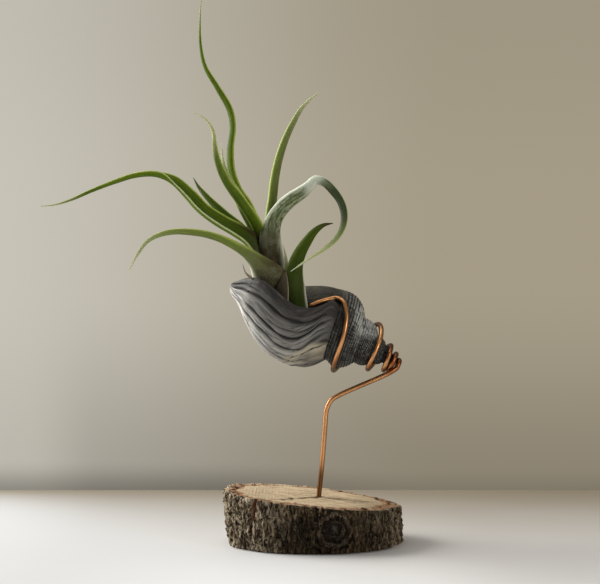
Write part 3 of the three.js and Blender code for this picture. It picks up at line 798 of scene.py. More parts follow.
def fill_grain(graph, given):
    """Fine relief as a normal: a height of one's own with fine noise over it."""
    fine = graph.noise(given["Vector"], given["Scale"], 3, 0.6)
    height = graph.times_plus(fine, given["Roughening"], given["Height"])
    bump = graph.add("ShaderNodeBump", {"Strength": 1.0, "Distance": MM, "Height": height})
    return {"Normal": bump.outputs[0]}


def grain(graph, vector, height, scale, roughening):
    """A normal for a height in millimetres with fine roughening over it."""
    group = shader_group(
        "grain",
        {
            "Vector": (VECTOR, (0, 0, 0)), "Height": (FLOAT, 0.0), "Scale": (FLOAT, 5.0),
            "Roughening": (FLOAT, 0.1),
        },
        {"Normal": VECTOR},
        fill_grain,
    )
    made = graph.add("ShaderNodeGroup", {
        "Vector": vector, "Height": height, "Scale": scale, "Roughening": roughening,
    }, node_tree=group)
    return made.outputs["Normal"]


# ---- finishes ----


# How far to the right the growth rings have their middle, and the tone of the bark's darker patches.
PITH_PLACE = 1.0
BARK_DARK_PATCH = (0.008, 0.0055, 0.0035)


def sawn_wood(settings):
    """Pale sawn wood with growth rings round the pith, brown round the hole and reddish at the inner bark,
    with painted shade towards its right and left ends.
    """

    def build(graph):
        place = object_millimetres(graph)
        bend = graph.noise(place, 0.12, 3, 0.5)
        x, y, _ = graph.apart(place)
        off_pith = graph.minus(x, PITH_PLACE)
        radius = graph.times_plus(bend, 5.0, graph.length(graph.vector(off_pith, y)))
        rings = graph.sine(graph.times(radius, 2 * math.pi / 2.3))
        fine_rings = graph.sine(graph.times(radius, 2 * math.pi / 0.9))
        ring_mask = graph.step(graph.times_plus(fine_rings, 0.35, rings), -0.2, 1.3, 0.0, 0.42)
        wood = tuple(settings.wood)
        late = tuple(0.62 * c for c in wood)
        tone = graph.mix(ring_mask, wood, (late[0], late[1] * 0.93, late[2] * 0.85))
        with_grain = graph.scaled(place, (1, 2, 1))
        clouds = graph.noise(graph.scaled(place, (1, 2.2, 1)), 0.09, 4, 0.65, 0.8)
        heart = graph.step(clouds, 0.43, 0.62, 0.0, 0.7)
        tone = graph.mix(heart, tone, (0.27, 0.19, 0.115))
        off_right = graph.length(graph.vector(graph.times(graph.minus(off_pith, 13.0), 0.42), y))
        blotched = graph.step(graph.noise(graph.scaled(place, (0.6, 1.6, 1)), 0.3, 4, 0.7), 0.36, 0.56)
        stained = graph.times(graph.step(off_right, 8, 2), blotched)
        tone = graph.mix(graph.times(stained, 0.85), tone, (0.15, 0.102, 0.06))
        tone, _ = mottle(graph, with_grain, tone, (0.66, 0.53, 0.36), 0.13, 0.9, 0.35, 0.3)
        dirt = graph.step(graph.noise(place, 0.55, 4, 0.7), 0.52, 0.70, 0.0, 0.6)
        tone = graph.mix(dirt, tone, (0.17, 0.125, 0.085))
        # Painted shade: the sawn top is painted darker towards its right end and, less so, towards its left
        # end.
        tone = graph.mix(graph.step(x, 8, 30, 0.0, 0.62), tone, (0.22, 0.165, 0.10))
        tone = graph.mix(graph.step(x, -6, -24, 0.0, 0.36), tone, (0.30, 0.225, 0.145))
        tone = graph.mix(graph.attribute("inner_bark"), tone, (0.25, 0.090, 0.028))
        tone = graph.mix(graph.attribute("crack"), tone, (0.022, 0.013, 0.008))
        saw = graph.sine(graph.times_plus(bend, 3.0, graph.times(x, 4.6)))
        height = graph.times_plus(saw, 0.018, graph.times(ring_mask, 0.12))
        return {"Base Color": tone, "Normal": grain(graph, place, height, 2.2, 0.16)}

    return finish_material("sawn_wood", build, **{"Roughness": 0.85, "Specular IOR Level": 0.2})


def rough_bark(settings):
    """Dark furrows, brown-grey plates, pale flake edges and reddish places where the inner bark shows, with
    painted light that makes the left and right ends paler.
    """

    def build(graph):
        place = object_millimetres(graph)
        upright = graph.scaled(place, (1, 1, 0.3))
        relief = graph.attribute("relief")
        x, y, z = graph.apart(place)
        scuffed = graph.noise(upright, 0.7, 4, 0.7)
        splinters = graph.noise(graph.scaled(place, (1, 1, 0.22)), 1.15, 2, 0.6, 0.4)
        tone = graph.mix(graph.step(relief, 0.35, 0.7), (0.006, 0.004, 0.0025), tuple(settings.bark))
        lighter = graph.times(graph.step(relief, 0.6, 1.0), graph.step(scuffed, 0.42, 0.6))
        tone = graph.mix(lighter, tone, (0.20, 0.142, 0.083))
        tone, _ = mottle(graph, upright, tone, (0.30, 0.225, 0.14), 0.22, 1.3, 0.1, 0.45)
        # Painted light: the bark's left end, and less its right end, are painted paler in patches, as if lit.
        ends = graph.most(graph.step(x, 0, -28), graph.step(x, 12, 36, 0.0, 0.6))
        painted_lit_ends = graph.times(ends, graph.step(scuffed, 0.44, 0.58))
        tone = graph.mix(graph.times(painted_lit_ends, 0.85), tone, (0.48, 0.40, 0.285))
        tone = graph.mix(graph.step(splinters, 0.47, 0.37, 0.0, 0.9), tone, (0.006, 0.0045, 0.003))
        # The bark is darker in a patch low in the middle.
        off_dark_patch = graph.length(graph.vector(
            graph.times(graph.plus(x, 3.0), 0.05), 0.0, graph.times(graph.minus(z, 6.0), 0.085)))
        tone = graph.mix(graph.step(off_dark_patch, 1.0, 0.35, 0.0, 0.6), tone, BARK_DARK_PATCH)
        # The bark is darker on the front at the right.
        right_part = graph.times(
            graph.step(x, 14, 20), graph.step(x, 34, 27), graph.step(y, -4, -16, 0.0, 0.38))
        tone = graph.mix(right_part, tone, BARK_DARK_PATCH)
        from_knot = graph.length(graph.vector(graph.minus(x, 8.0), 0.0, graph.minus(z, KNOT["height"])))
        wavy = graph.times_plus(graph.noise(place, 0.4, 4, 0.75), 7.0, from_knot)
        wavy = graph.minus(wavy, 0.75)
        at_front = graph.times(graph.step(wavy, 11.5, 7.5, 0.0, 0.72), graph.step(y, -10, -20))
        ringed = graph.step(graph.sine(graph.times(wavy, 2.3)), 0.1, 0.9)
        ringed = graph.times(ringed, graph.step(scuffed, 0.36, 0.56, 0.15, 1.0))
        ring_tone = graph.mix(ringed, (0.018, 0.013, 0.009), (0.17, 0.13, 0.09))
        ring_tone = graph.mix(graph.step(wavy, 5.0, 3.6, 0.0, 0.8), ring_tone, (0.100, 0.092, 0.082))
        tone = graph.mix(at_front, tone, ring_tone)
        reddish = graph.mix(graph.step(z, 8, 14), (0.010, 0.006, 0.004), (0.15, 0.050, 0.022))
        tone = graph.mix(graph.attribute("inner_bark"), tone, reddish)
        tone = graph.mix(graph.attribute("crack"), tone, (0.008, 0.006, 0.005))
        height = graph.times(scuffed, 0.9)
        return {"Base Color": tone, "Normal": grain(graph, place, height, 2.4, 0.35)}

    return finish_material("rough_bark", build, **{"Roughness": 0.95, "Specular IOR Level": 0.12})


def bare_copper(settings):
    """Bright drawn copper with a little tarnish, faint handling marks and a painted dark reflection at its
    edges.
    """

    def build(graph):
        place = object_millimetres(graph)
        tone, mask = mottle(graph, place, tuple(settings.copper), (0.42, 0.16, 0.065), 0.13, 1.0, 0.5, 0.15)
        x, _, z = graph.apart(place)
        tip_end = graph.times(graph.step(x, 29, 33), graph.step(z, 66, 70))
        tone = graph.mix(graph.times(tip_end, 0.8), tone, (0.23, 0.062, 0.022))
        # Darker towards the foot of the post.
        tone = graph.mix(graph.step(z, 36, 27, 0.0, 0.9), tone, (0.14, 0.057, 0.018))
        # Painted reflection: the copper darkens towards the wire's edges as seen, standing in for a dark
        # room.
        edge_on = graph.add("ShaderNodeLayerWeight", {"Blend": 0.5}).outputs["Facing"]
        tone = graph.mix(graph.step(edge_on, 0.2, 0.7, 0.0, 0.93), tone, (0.055, 0.016, 0.005))
        marks = graph.noise(place, 0.35, 2, 0.5)
        roughness = graph.times_plus(mask, 0.05, graph.step(marks, 0.3, 0.75, 0.36, 0.4))
        return {
            "Base Color": tone, "Roughness": roughness,
            "Normal": grain(graph, place, graph.times(marks, 0.015), 1.0, 0.001),
        }

    return finish_material("bare_copper", build, Metallic=1.0)


def swept_back(graph, turn, place):
    """The turn of a growth line, which sweeps back towards the suture."""
    return graph.plus(turn, graph.step(place, 47, 33, 0.0, -0.055))


def worn_shell(settings):
    """Grey shell: dark grooves with painted shadow, worn ridges with painted highlights on their flanks, fine
    lines along them, a woven spire with a painted highlight on its shoulder and bleached places.
    """

    def build(graph):
        place = object_millimetres(graph)
        x, _, z = graph.apart(place)
        turn = graph.attribute("growth_turn")
        whorl = graph.attribute("whorl_place")
        ridge = graph.attribute("ridge")
        spire = graph.attribute("spire")
        dark = tuple(settings.dark)
        pale = tuple(settings.pale)
        rows = graph.noise_over(turn, whorl, 140.0, 0.14, 3, 0.65)
        cord_streaks = graph.noise_over(turn, whorl, 9.0, 1.15, 3, 0.65)
        turn = swept_back(graph, turn, whorl)
        lines = graph.noise_over(turn, whorl, 110.0, 0.12, 4, 0.65)
        bands = graph.noise_over(turn, whorl, 17.0, 0.05, 2, 0.5)
        away = graph.step(turn, -0.035, -0.20)
        front = graph.step(whorl, 41, 60, 0.2, 1.0)
        by_suture = graph.step(whorl, 46, 37, 0.0, 0.85)
        light = graph.times(away, front, graph.minus(1.0, by_suture))
        light = graph.most(light, graph.times(front, graph.step(whorl, 56, 72, 0.0, 0.35)))
        tone = graph.mix(light, (0.054, 0.048, 0.042), pale)
        tone = graph.mix(graph.step(turn, -0.036, -0.018, 0.0, 0.8), tone, (0.026, 0.022, 0.020))
        lit = graph.times(graph.step(bands, 0.44, 0.62), graph.times_plus(away, 0.6, 0.07))
        tone = graph.mix(lit, tone, (0.36, 0.35, 0.33))
        # Painted highlight: the flanks of the great ridges, beside the furrows, are painted pale as if
        # catching light.
        flank = graph.times(graph.attribute("flank"), graph.times_plus(away, 0.85, 0.12))
        tone = graph.mix(flank, tone, (0.52, 0.505, 0.465))
        tone = graph.mix(graph.step(bands, 0.46, 0.3, 0.0, 0.5), tone, dark)
        fine = graph.times_plus(away, 0.4, 0.12)
        tone = graph.mix(graph.times(graph.step(lines, 0.52, 0.68), fine), tone, (0.42, 0.41, 0.39))
        tone = graph.mix(graph.step(lines, 0.46, 0.32, 0.0, 0.85), tone, dark)
        tone = graph.mix(graph.step(whorl, 45, 37, 0.0, 0.62), tone, (0.028, 0.026, 0.025))
        tip_end = graph.times(graph.step(x, -24, -28), graph.step(z, 105, 107))
        tone = graph.mix(graph.times(tip_end, 0.75), tone, (0.030, 0.026, 0.022))
        thin_lines = graph.step(lines, 0.38, 0.47, 0.0, 1.0)
        yellow = graph.times(graph.attribute("yellowed"), thin_lines)
        tone = graph.mix(yellow, tone, (0.47, 0.43, 0.32))
        tone = graph.mix(graph.times(graph.attribute("bleached"), thin_lines), tone, (0.68, 0.67, 0.64))
        # Painted shadow: the deep furrows and the troughs between the ridges are painted nearly black.
        furrow = graph.most(graph.attribute("furrow"), graph.step(ridge, 0.80, 0.34, 0.0, 0.96))
        tone = graph.mix(graph.step(furrow, 0.15, 0.9, 0.0, 0.95), tone, (0.009, 0.008, 0.008))
        octave = graph.math("DIVIDE", graph.logarithm(whorl), math.log(settings.growth))
        cords = graph.sine(graph.times(octave, 2 * math.pi * settings.cords))
        weave = graph.times_plus(cords, 0.25, graph.times_plus(cord_streaks, 2.4, -1.2))
        weave = graph.plus(weave, graph.times_plus(rows, 2.0, -1.0))
        patches = graph.noise(place, 0.15, 3, 0.6)
        # Painted highlight: the spire is painted lighter towards the right, on its shoulder, and darker lower
        # down.
        upper = graph.mix(graph.step(x, 13, 19), (0.13, 0.132, 0.118), (0.30, 0.29, 0.255))
        upper = graph.mix(graph.step(z, 90, 78, 0.0, 0.7), upper, (0.11, 0.114, 0.106))
        blue = graph.mix(graph.step(weave, -0.1, 0.5), (0.009, 0.009, 0.008), upper)
        # Painted highlight: bright streaks along the cords on the spire's shoulder.
        painted_shoulder_highlight = graph.times(graph.step(z, 84, 88), graph.step(x, 15.5, 18.5), graph.step(z, 101, 96))
        streaks = graph.times(painted_shoulder_highlight, graph.step(cord_streaks, 0.40, 0.52), graph.step(rows, 0.34, 0.48))
        blue = graph.mix(graph.times(streaks, 0.85), blue, (0.58, 0.59, 0.56))
        blots = graph.times(graph.step(patches, 0.50, 0.36), graph.step(weave, -0.1, 0.3))
        blue = graph.mix(graph.times(blots, 0.85), blue, (0.035, 0.017, 0.009))
        tone = graph.mix(spire, tone, blue)
        olive, _ = mottle(graph, place, (0.026, 0.022, 0.010), (0.055, 0.046, 0.024), 0.3, 1.2, 0.6, 0.3)
        olive = graph.mix(graph.step(x, -1, 8, 0.0, 0.55), olive, (0.010, 0.009, 0.006))
        tone = graph.mix(graph.attribute("stained"), tone, olive)
        tone = graph.mix(graph.attribute("inner"), tone, (0.024, 0.019, 0.014))
        woven = graph.times(weave, spire, 0.12)
        height = graph.times_plus(lines, 0.35, woven)
        roughness = graph.step(graph.noise(place, 0.5, 3, 0.6), 0.3, 0.7, 0.5, 0.7)
        return {"Base Color": tone, "Roughness": roughness, "Normal": grain(graph, place, height, 1.8, 0.1)}

    return finish_material("worn_shell", build, **{"Specular IOR Level": 0.3})


def leaf_skin(name, settings, dry=False, grey=False):
    """A leaf's skin: green with painted shade down its middle, pale margins that are in part a painted glow
    of light from behind, silvery scales where the leaf is scaly, pale at the tip.
    """

    def build(graph):
        place = object_millimetres(graph)
        share = graph.attribute("along")
        across = graph.attribute("across")
        scaly = graph.attribute("scaly")
        width = graph.attribute("width")
        side = graph.math("ABSOLUTE", across)
        breadth = graph.times(across, width)
        green = tuple(settings.green)
        deep = tuple(0.36 * c for c in green)
        bright = (green[0] * 1.8, green[1] * 1.6, green[2] * 2.0)
        rim = tuple(settings.rim)
        if grey:
            green, deep = (0.240, 0.285, 0.135), (0.070, 0.094, 0.030)
            bright, rim = (0.56, 0.60, 0.43), (0.78, 0.82, 0.68)
        if dry:
            green = tuple(settings.dry)
            deep, bright, rim = (0.035, 0.026, 0.014), (0.34, 0.29, 0.21), (0.45, 0.39, 0.3)
        veins = graph.noise_over(breadth, share, 0.9, 9.0, 3, 0.55)
        tone = graph.mix(graph.step(veins, 0.4, 0.7), green, bright)
        # Painted shade: the leaf is painted darker down its middle, away from its margins.
        tone = graph.mix(graph.step(side, 0.6, 0.1, 0.0, 0.45), tone, deep)
        if grey:
            blots = graph.noise(graph.vector(breadth, graph.times(share, 40.0)), 0.7, 3, 0.7)
            tone = graph.mix(graph.step(blots, 0.54, 0.42, 0.0, 0.9), tone, deep)
            beyond = graph.step(share, 0.50, 0.58)
            rim = graph.mix(beyond, rim, (0.40, 0.50, 0.12))
            thin_green = graph.mix(graph.step(share, 0.66, 0.84), (0.050, 0.066, 0.030), (0.30, 0.36, 0.12))
            tone = graph.mix(beyond, tone, thin_green)
        tone = graph.mix(graph.attribute("shade"), tone, deep)
        # The pale rims are the margins' own paler colour and in part a painted glow of light shining through
        # from behind.
        tone = graph.mix(graph.times(graph.attribute("edge"), 0.92), tone, rim)
        specks = graph.noise(place, 1.1, 3, 0.7)
        cover = graph.times(scaly, graph.step(specks, 0.3, 0.65, 0.6, 1.0))
        patches = graph.step(graph.noise(place, 0.22, 3, 0.6), 0.4, 0.62)
        base_tone = graph.mix(patches, tuple(settings.scales), (0.060, 0.048, 0.024))
        base_tone = graph.mix(graph.step(specks, 0.52, 0.72, 0.0, 0.4), base_tone, (0.24, 0.24, 0.16))
        if not dry:
            tone = graph.mix(cover, tone, base_tone)
        tone = graph.mix(graph.attribute("brown"), tone, (0.042, 0.021, 0.013))
        # The silvery white is the scales' own colour and in part a painted glow of light shining through from
        # behind.
        tone = graph.mix(graph.attribute("silver"), tone, (0.84, 0.86, 0.72))
        tone = graph.mix(graph.attribute("yellowing"), tone, (0.48, 0.50, 0.19))
        tone = graph.mix(graph.attribute("pale"), tone, (0.64, 0.68, 0.56) if grey else (0.62, 0.64, 0.38))
        height = graph.times(veins, 0.12)
        roughness = graph.times_plus(scaly, 0.2, 0.55)
        return {"Base Color": tone, "Roughness": roughness, "Normal": grain(graph, place, height, 1.2, 0.04)}

    return finish_material(name, build, **{
        "Specular IOR Level": 0.12, "Sheen Weight": 0.04, "Sheen Roughness": 0.4,
        "Sheen Tint": (0.8, 0.9, 0.3, 1.0)})


# ---- the slice of log ----

# Waves of the log's outline: how many in a turn, their share of the radius and their phase.
LOG_WAVES = [(1, 0.03, 3.14), (2, 0.012, 0.6), (3, 0.014, 2.1), (5, 0.01, 0.4), (9, 0.008, 1.3)]
KNOT = {"turn": -1.335, "height": 9.6, "radius": 8.6}
SPLIT = {"turn": -2.2, "width": 1.2, "depth": 2.0}

# Cracks in the top: the turn that each runs along, how far it reaches and half its width.
CRACKS = [(-2.17, 44, 0.95), (0.02, 30, 0.8), (-0.5, 12, 0.45), (2.9, 12, 0.4), (1.1, 9, 0.35)]
HOLE = {"x": 2.0, "radius": 1.34, "depth": 11.3}
FLAKE_SIZE = 0.62
FLAKE_SEED = 4


def log_radius(settings, turn):
    """The log's radius at each turn round its pith."""
    waves = sum(share * np.sin(count * turn + phase) for count, share, phase in LOG_WAVES)
    return settings.radius * (1 + waves)


def turn_between(turn, other):
    """The angle from other to turn, from minus half a turn to half a turn."""
    return (turn - other + math.pi) % (2 * math.pi) - math.pi


def bark_relief(settings, turn, radius, z):
    """Relief of the bark in millimetres, its plates, and the masks of the split and of the knot's heart."""
    place = stack(radius * np.cos(turn), radius * np.sin(turn), z)
    aside = turn_between(turn, KNOT["turn"]) * radius
    above = z - KNOT["height"]
    from_knot = np.hypot(aside, above) / KNOT["radius"]
    in_knot = smooth(1.2, 0.8, from_knot)
    parted = np.exp(-((from_knot / 1.5) ** 2)) * KNOT["radius"] * np.sign(aside) * 0.55
    spread = place - stack(-np.sin(turn) * parted, np.cos(turn) * parted, 0 * turn)
    warp = stack(fractal(place / 6, 2, 11), fractal(place / 6, 2, 23), 0.6 * fractal(place / 8, 2, 31)) * 1.5
    wide = (spread + warp) / (3, 3, 9)
    narrow = (spread + 0.7 * warp) / (1.2, 1.2, 4)
    plates = 0.5 * smooth(0, 0.34, np.abs(noise(wide, 3))) + 0.5 * smooth(0, 0.34, np.abs(noise(narrow, 7)))
    rough = fractal(place / (1, 1, 2.6), 3, 41)
    relief = -settings.bark_depth * (1 - plates) + 0.4 * rough + 0.5 * noise(place / 11, 5)
    wobble = from_knot + 0.09 * noise(place / 2.2, 61) + 0.06 * noise(place / 0.9, 67)
    waves = np.cos(wobble * 17)
    rings = 0.7 * waves - 1.2 * smooth(0.45, 0.15, wobble)
    rings = rings + 0.8 * smooth(0.3, 0.15, np.abs(wobble - 0.85))
    relief = relief * (1 - 0.85 * in_knot) + in_knot * (rings + 0.35 * rough - 0.3)
    plates = plates * (1 - in_knot) + in_knot * np.clip(0.5 + 0.4 * waves + 0.4 * rough, 0, 1)
    split_turn = SPLIT["turn"] + 0.007 * (z - 20) + 0.006 * np.sin(z * 0.9)
    from_split = np.abs(turn_between(turn, split_turn) * radius)
    in_split = smooth(1.0, 0.35, from_split / SPLIT["width"]) * smooth(2.5, 7, z)
    relief = relief * (1 - in_split) - SPLIT["depth"] * in_split
    dark_heart = 0.7 * in_knot * smooth(0.13, 0.05, np.abs(wobble - 0.36))
    return relief, plates + 0.25 * rough, in_split, dark_heart


def slice_object(settings):
    """The slice's mesh: bark wall, slanting sawn top with cracks and the wire's hole, plain underside."""
    around, wall_rows, top_rings, under_rings = 460, 54, 44, 4
    turn = np.linspace(0, 2 * math.pi, around, endpoint=False)
    base = log_radius(settings, turn)
    rings, relief, inner_bark, crack = [], [], [], []

    def top_at(x):
        return settings.thickness - settings.top_fall * x

    def ring(points, relief_there, inner_there, crack_there):
        rings.append(points)
        for store, numbers in zip((relief, inner_bark, crack), (relief_there, inner_there, crack_there)):
            store.append(np.broadcast_to(numbers, turn.shape))

    rim_height = top_at(base * np.cos(turn))
    for i in range(under_rings):
        share = (i + 0.15) / under_rings
        r = base * share
        ring(stack(r * np.cos(turn), r * np.sin(turn), 0 * turn), 0.5, 0, 0)
    for i in range(wall_rows + 1):
        share = i / wall_rows
        z = rim_height * share
        bumps, plate, in_split, heart = bark_relief(settings, turn, base, z)
        edge = 0.4 * (1 - smooth(0, 0.04, share)) + 0.5 * smooth(0.955, 1, share)
        r = base + bumps - edge
        ring(stack(r * np.cos(turn) + settings.lean * z, r * np.sin(turn), z), plate, in_split, heart)
    rim = rings[-1]
    middle = np.array([HOLE["x"], 0.0])
    circle = stack(np.cos(turn), np.sin(turn))
    hole_rim = middle + HOLE["radius"] * circle
    for i in range(1, top_rings + 1):
        share = 1 - (1 - i / top_rings) ** 1.25
        flat = rim[:, :2] + (hole_rim - rim[:, :2]) * share
        from_rim = np.linalg.norm(flat - rim[:, :2], axis=1)
        out = flat - middle
        far = np.linalg.norm(out, axis=1)
        angle = np.arctan2(out[:, 1], out[:, 0])
        z = top_at(flat[:, 0])
        place = stack(flat[:, 0], flat[:, 1], 0 * z)
        bark_width = 5.0 + 1.5 * noise(place / 5, 71) + 0.7 * noise(place / 1.6, 72)
        on_bark = smooth(1.1, 0.9, from_rim / bark_width)
        seam = smooth(0.55, 0, np.abs(from_rim - bark_width))
        z = z - 0.45 * on_bark * (1 + 1.5 * noise(place / 1.3, 73) + noise(place / 4, 74)) - 0.5 * seam
        z = z + 0.05 * noise(place / 2.0, 77) + 0.12 * noise(place / 9, 79)
        gap = np.zeros_like(z)
        for crack_turn, reach, half in CRACKS:
            bent = crack_turn + 0.10 * noise(stack(far / 3.5, 0 * far + crack_turn, 0 * far), 83)
            off = np.abs(turn_between(angle, bent)) * far
            wide = half * smooth(reach, reach * 0.35, far) + 1e-6
            gap = np.maximum(gap, smooth(1.6, 0.2, off / wide) * smooth(reach, reach * 0.6, far))
        z = z - 0.9 * gap
        outer_bark = smooth(0.62, 0.35, from_rim / bark_width + 0.2 * noise(place / 1.1, 75))
        reddish = np.clip(0.9 * on_bark + 0.4 * seam, 0, 1) * (1 - 0.7 * outer_bark)
        holes = on_bark * smooth(0.25, 0.55, noise(place / 1.5, 78))
        dark = gap + 0.6 * seam + 0.8 * outer_bark * smooth(-0.3, 0.5, noise(place / 0.9, 76)) + 0.9 * holes
        dark = np.clip(dark, 0, 1)
        ring(stack(flat[:, 0], flat[:, 1], z), 0.6 + 0 * z, reddish, dark)
    for drop in (0.4, 3, HOLE["depth"]):
        edge = middle + HOLE["radius"] * 0.96 * circle
        ring(stack(edge[:, 0] - 0.08 * drop, edge[:, 1], settings.thickness - drop + 0 * turn), 0, 0, 1)
    points = np.vstack([*rings, [[0, 0, 0], [HOLE["x"] - 0.9, 0, settings.thickness - HOLE["depth"]]]])
    count = len(rings)
    faces = grid_faces(count, around)
    under, hole_end = count * around, count * around + 1
    last = (count - 1) * around
    first_top = under_rings + wall_rows
    for j in range(around):
        k = (j + 1) % around
        faces.append((k, j, under))
        faces.append((last + j, last + k, hole_end))
    kinds = np.ones(len(faces), np.int32)
    kinds[: (under_rings - 1) * around] = 0
    kinds[first_top * around :] = 0
    on_wall = np.repeat([under_rings <= i <= under_rings + wall_rows for i in range(count)], around)
    values = {
        "relief": np.append(np.concatenate(relief), [0.5, 0]),
        "inner_bark": np.append(np.concatenate(inner_bark), [0, 0]),
        "crack": np.append(np.concatenate(crack), [0, 1]),
        "on_wall": np.append(on_wall, [0, 0]),
    }
    materials = [sawn_wood(settings), rough_bark(settings)]
    return mesh_object("slice_of_log", points, faces, materials, values, kinds)


def bark_flakes_tree():
    """Scatters small upright flakes over the bark, but not over its rims, and joins them to the slice."""
    graph = GeometryGraph("bark_flakes", {
        "Flakes per Square Metre": FLOAT, "Flake Size": FLOAT, "Seed": WHOLE, "Top Fall": FLOAT,
        "Bark": MATERIAL})
    given = graph.inputs
    x, _, z = graph.apart(graph.add("GeometryNodeInputPosition").outputs[0])
    slanting = graph.times_plus(x, given["Top Fall"], z)
    # The flakes stay a millimetre and more under the slanting rim and over the underside.
    wall = graph.times(
        graph.attribute("on_wall"), graph.step(graph.attribute("inner_bark"), 0.3, 0.1),
        graph.step(slanting, 0.0178, 0.0165), graph.step(z, 0.001, 0.002))
    dots = graph.add("GeometryNodeDistributePointsOnFaces", {
        "Mesh": given["Geometry"], "Density": given["Flakes per Square Metre"], "Seed": given["Seed"],
        "Selection": graph.math("GREATER_THAN", wall, 0.9)}).outputs
    upright = graph.add("FunctionNodeAlignRotationToVector", {"Vector": dots["Normal"]}, axis="Z")
    upright = graph.add("FunctionNodeAlignRotationToVector", {
        "Rotation": upright.outputs[0], "Vector": (0.0, 0.0, 1.0)}, axis="Y", pivot_axis="Z")
    turned = graph.add("FunctionNodeRotateRotation", {
        "Rotation": upright.outputs[0],
        "Rotate By": graph.random_vector((-0.22, -0.3, -0.35), (0.5, 0.3, 0.35), given["Seed"]),
    }, rotation_space="LOCAL")
    size = graph.random_vector((0.4, 0.8, 0.3), (1.1, 2.9, 0.75), graph.plus(given["Seed"], 7.0))
    flake = graph.add("GeometryNodeMeshUVSphere", {"Segments": 7, "Rings": 5, "Radius": 1.0})
    set_out = graph.add("GeometryNodeInstanceOnPoints", {
        "Points": dots["Points"], "Instance": flake.outputs["Mesh"], "Rotation": turned.outputs[0],
        "Scale": graph.stretched(size, given["Flake Size"])})
    flakes = graph.on(set_out.outputs[0], "RealizeInstances")
    ragged = graph.add("ShaderNodeTexNoise", {"Scale": 900.0, "Detail": 2.0}).outputs["Color"]
    # Tears the flakes by up to 0.45 mm each way.
    push = graph.add("ShaderNodeVectorMath", operation="MULTIPLY_ADD")
    for socket, value in zip(push.inputs, (ragged, (0.0009,) * 3, (-0.00045,) * 3)):
        graph.feed(socket, value)
    flakes = graph.on(flakes, "SetPosition", {"Offset": push.outputs[0]})
    height = graph.add("ShaderNodeTexNoise", {"Scale": 260.0, "Detail": 1.0}).outputs[0]
    flakes = graph.store(flakes, "relief", graph.step(height, 0.3, 0.7, 0.35, 1.1))
    flakes = graph.on(flakes, "SetMaterial", {"Material": given["Bark"]})
    joined = graph.add("GeometryNodeJoinGeometry")
    graph.feed(joined.inputs[0], flakes)
    graph.feed(joined.inputs[0], given["Geometry"])
    graph.finish(joined.outputs[0])
    return graph


# ---- the shell ----


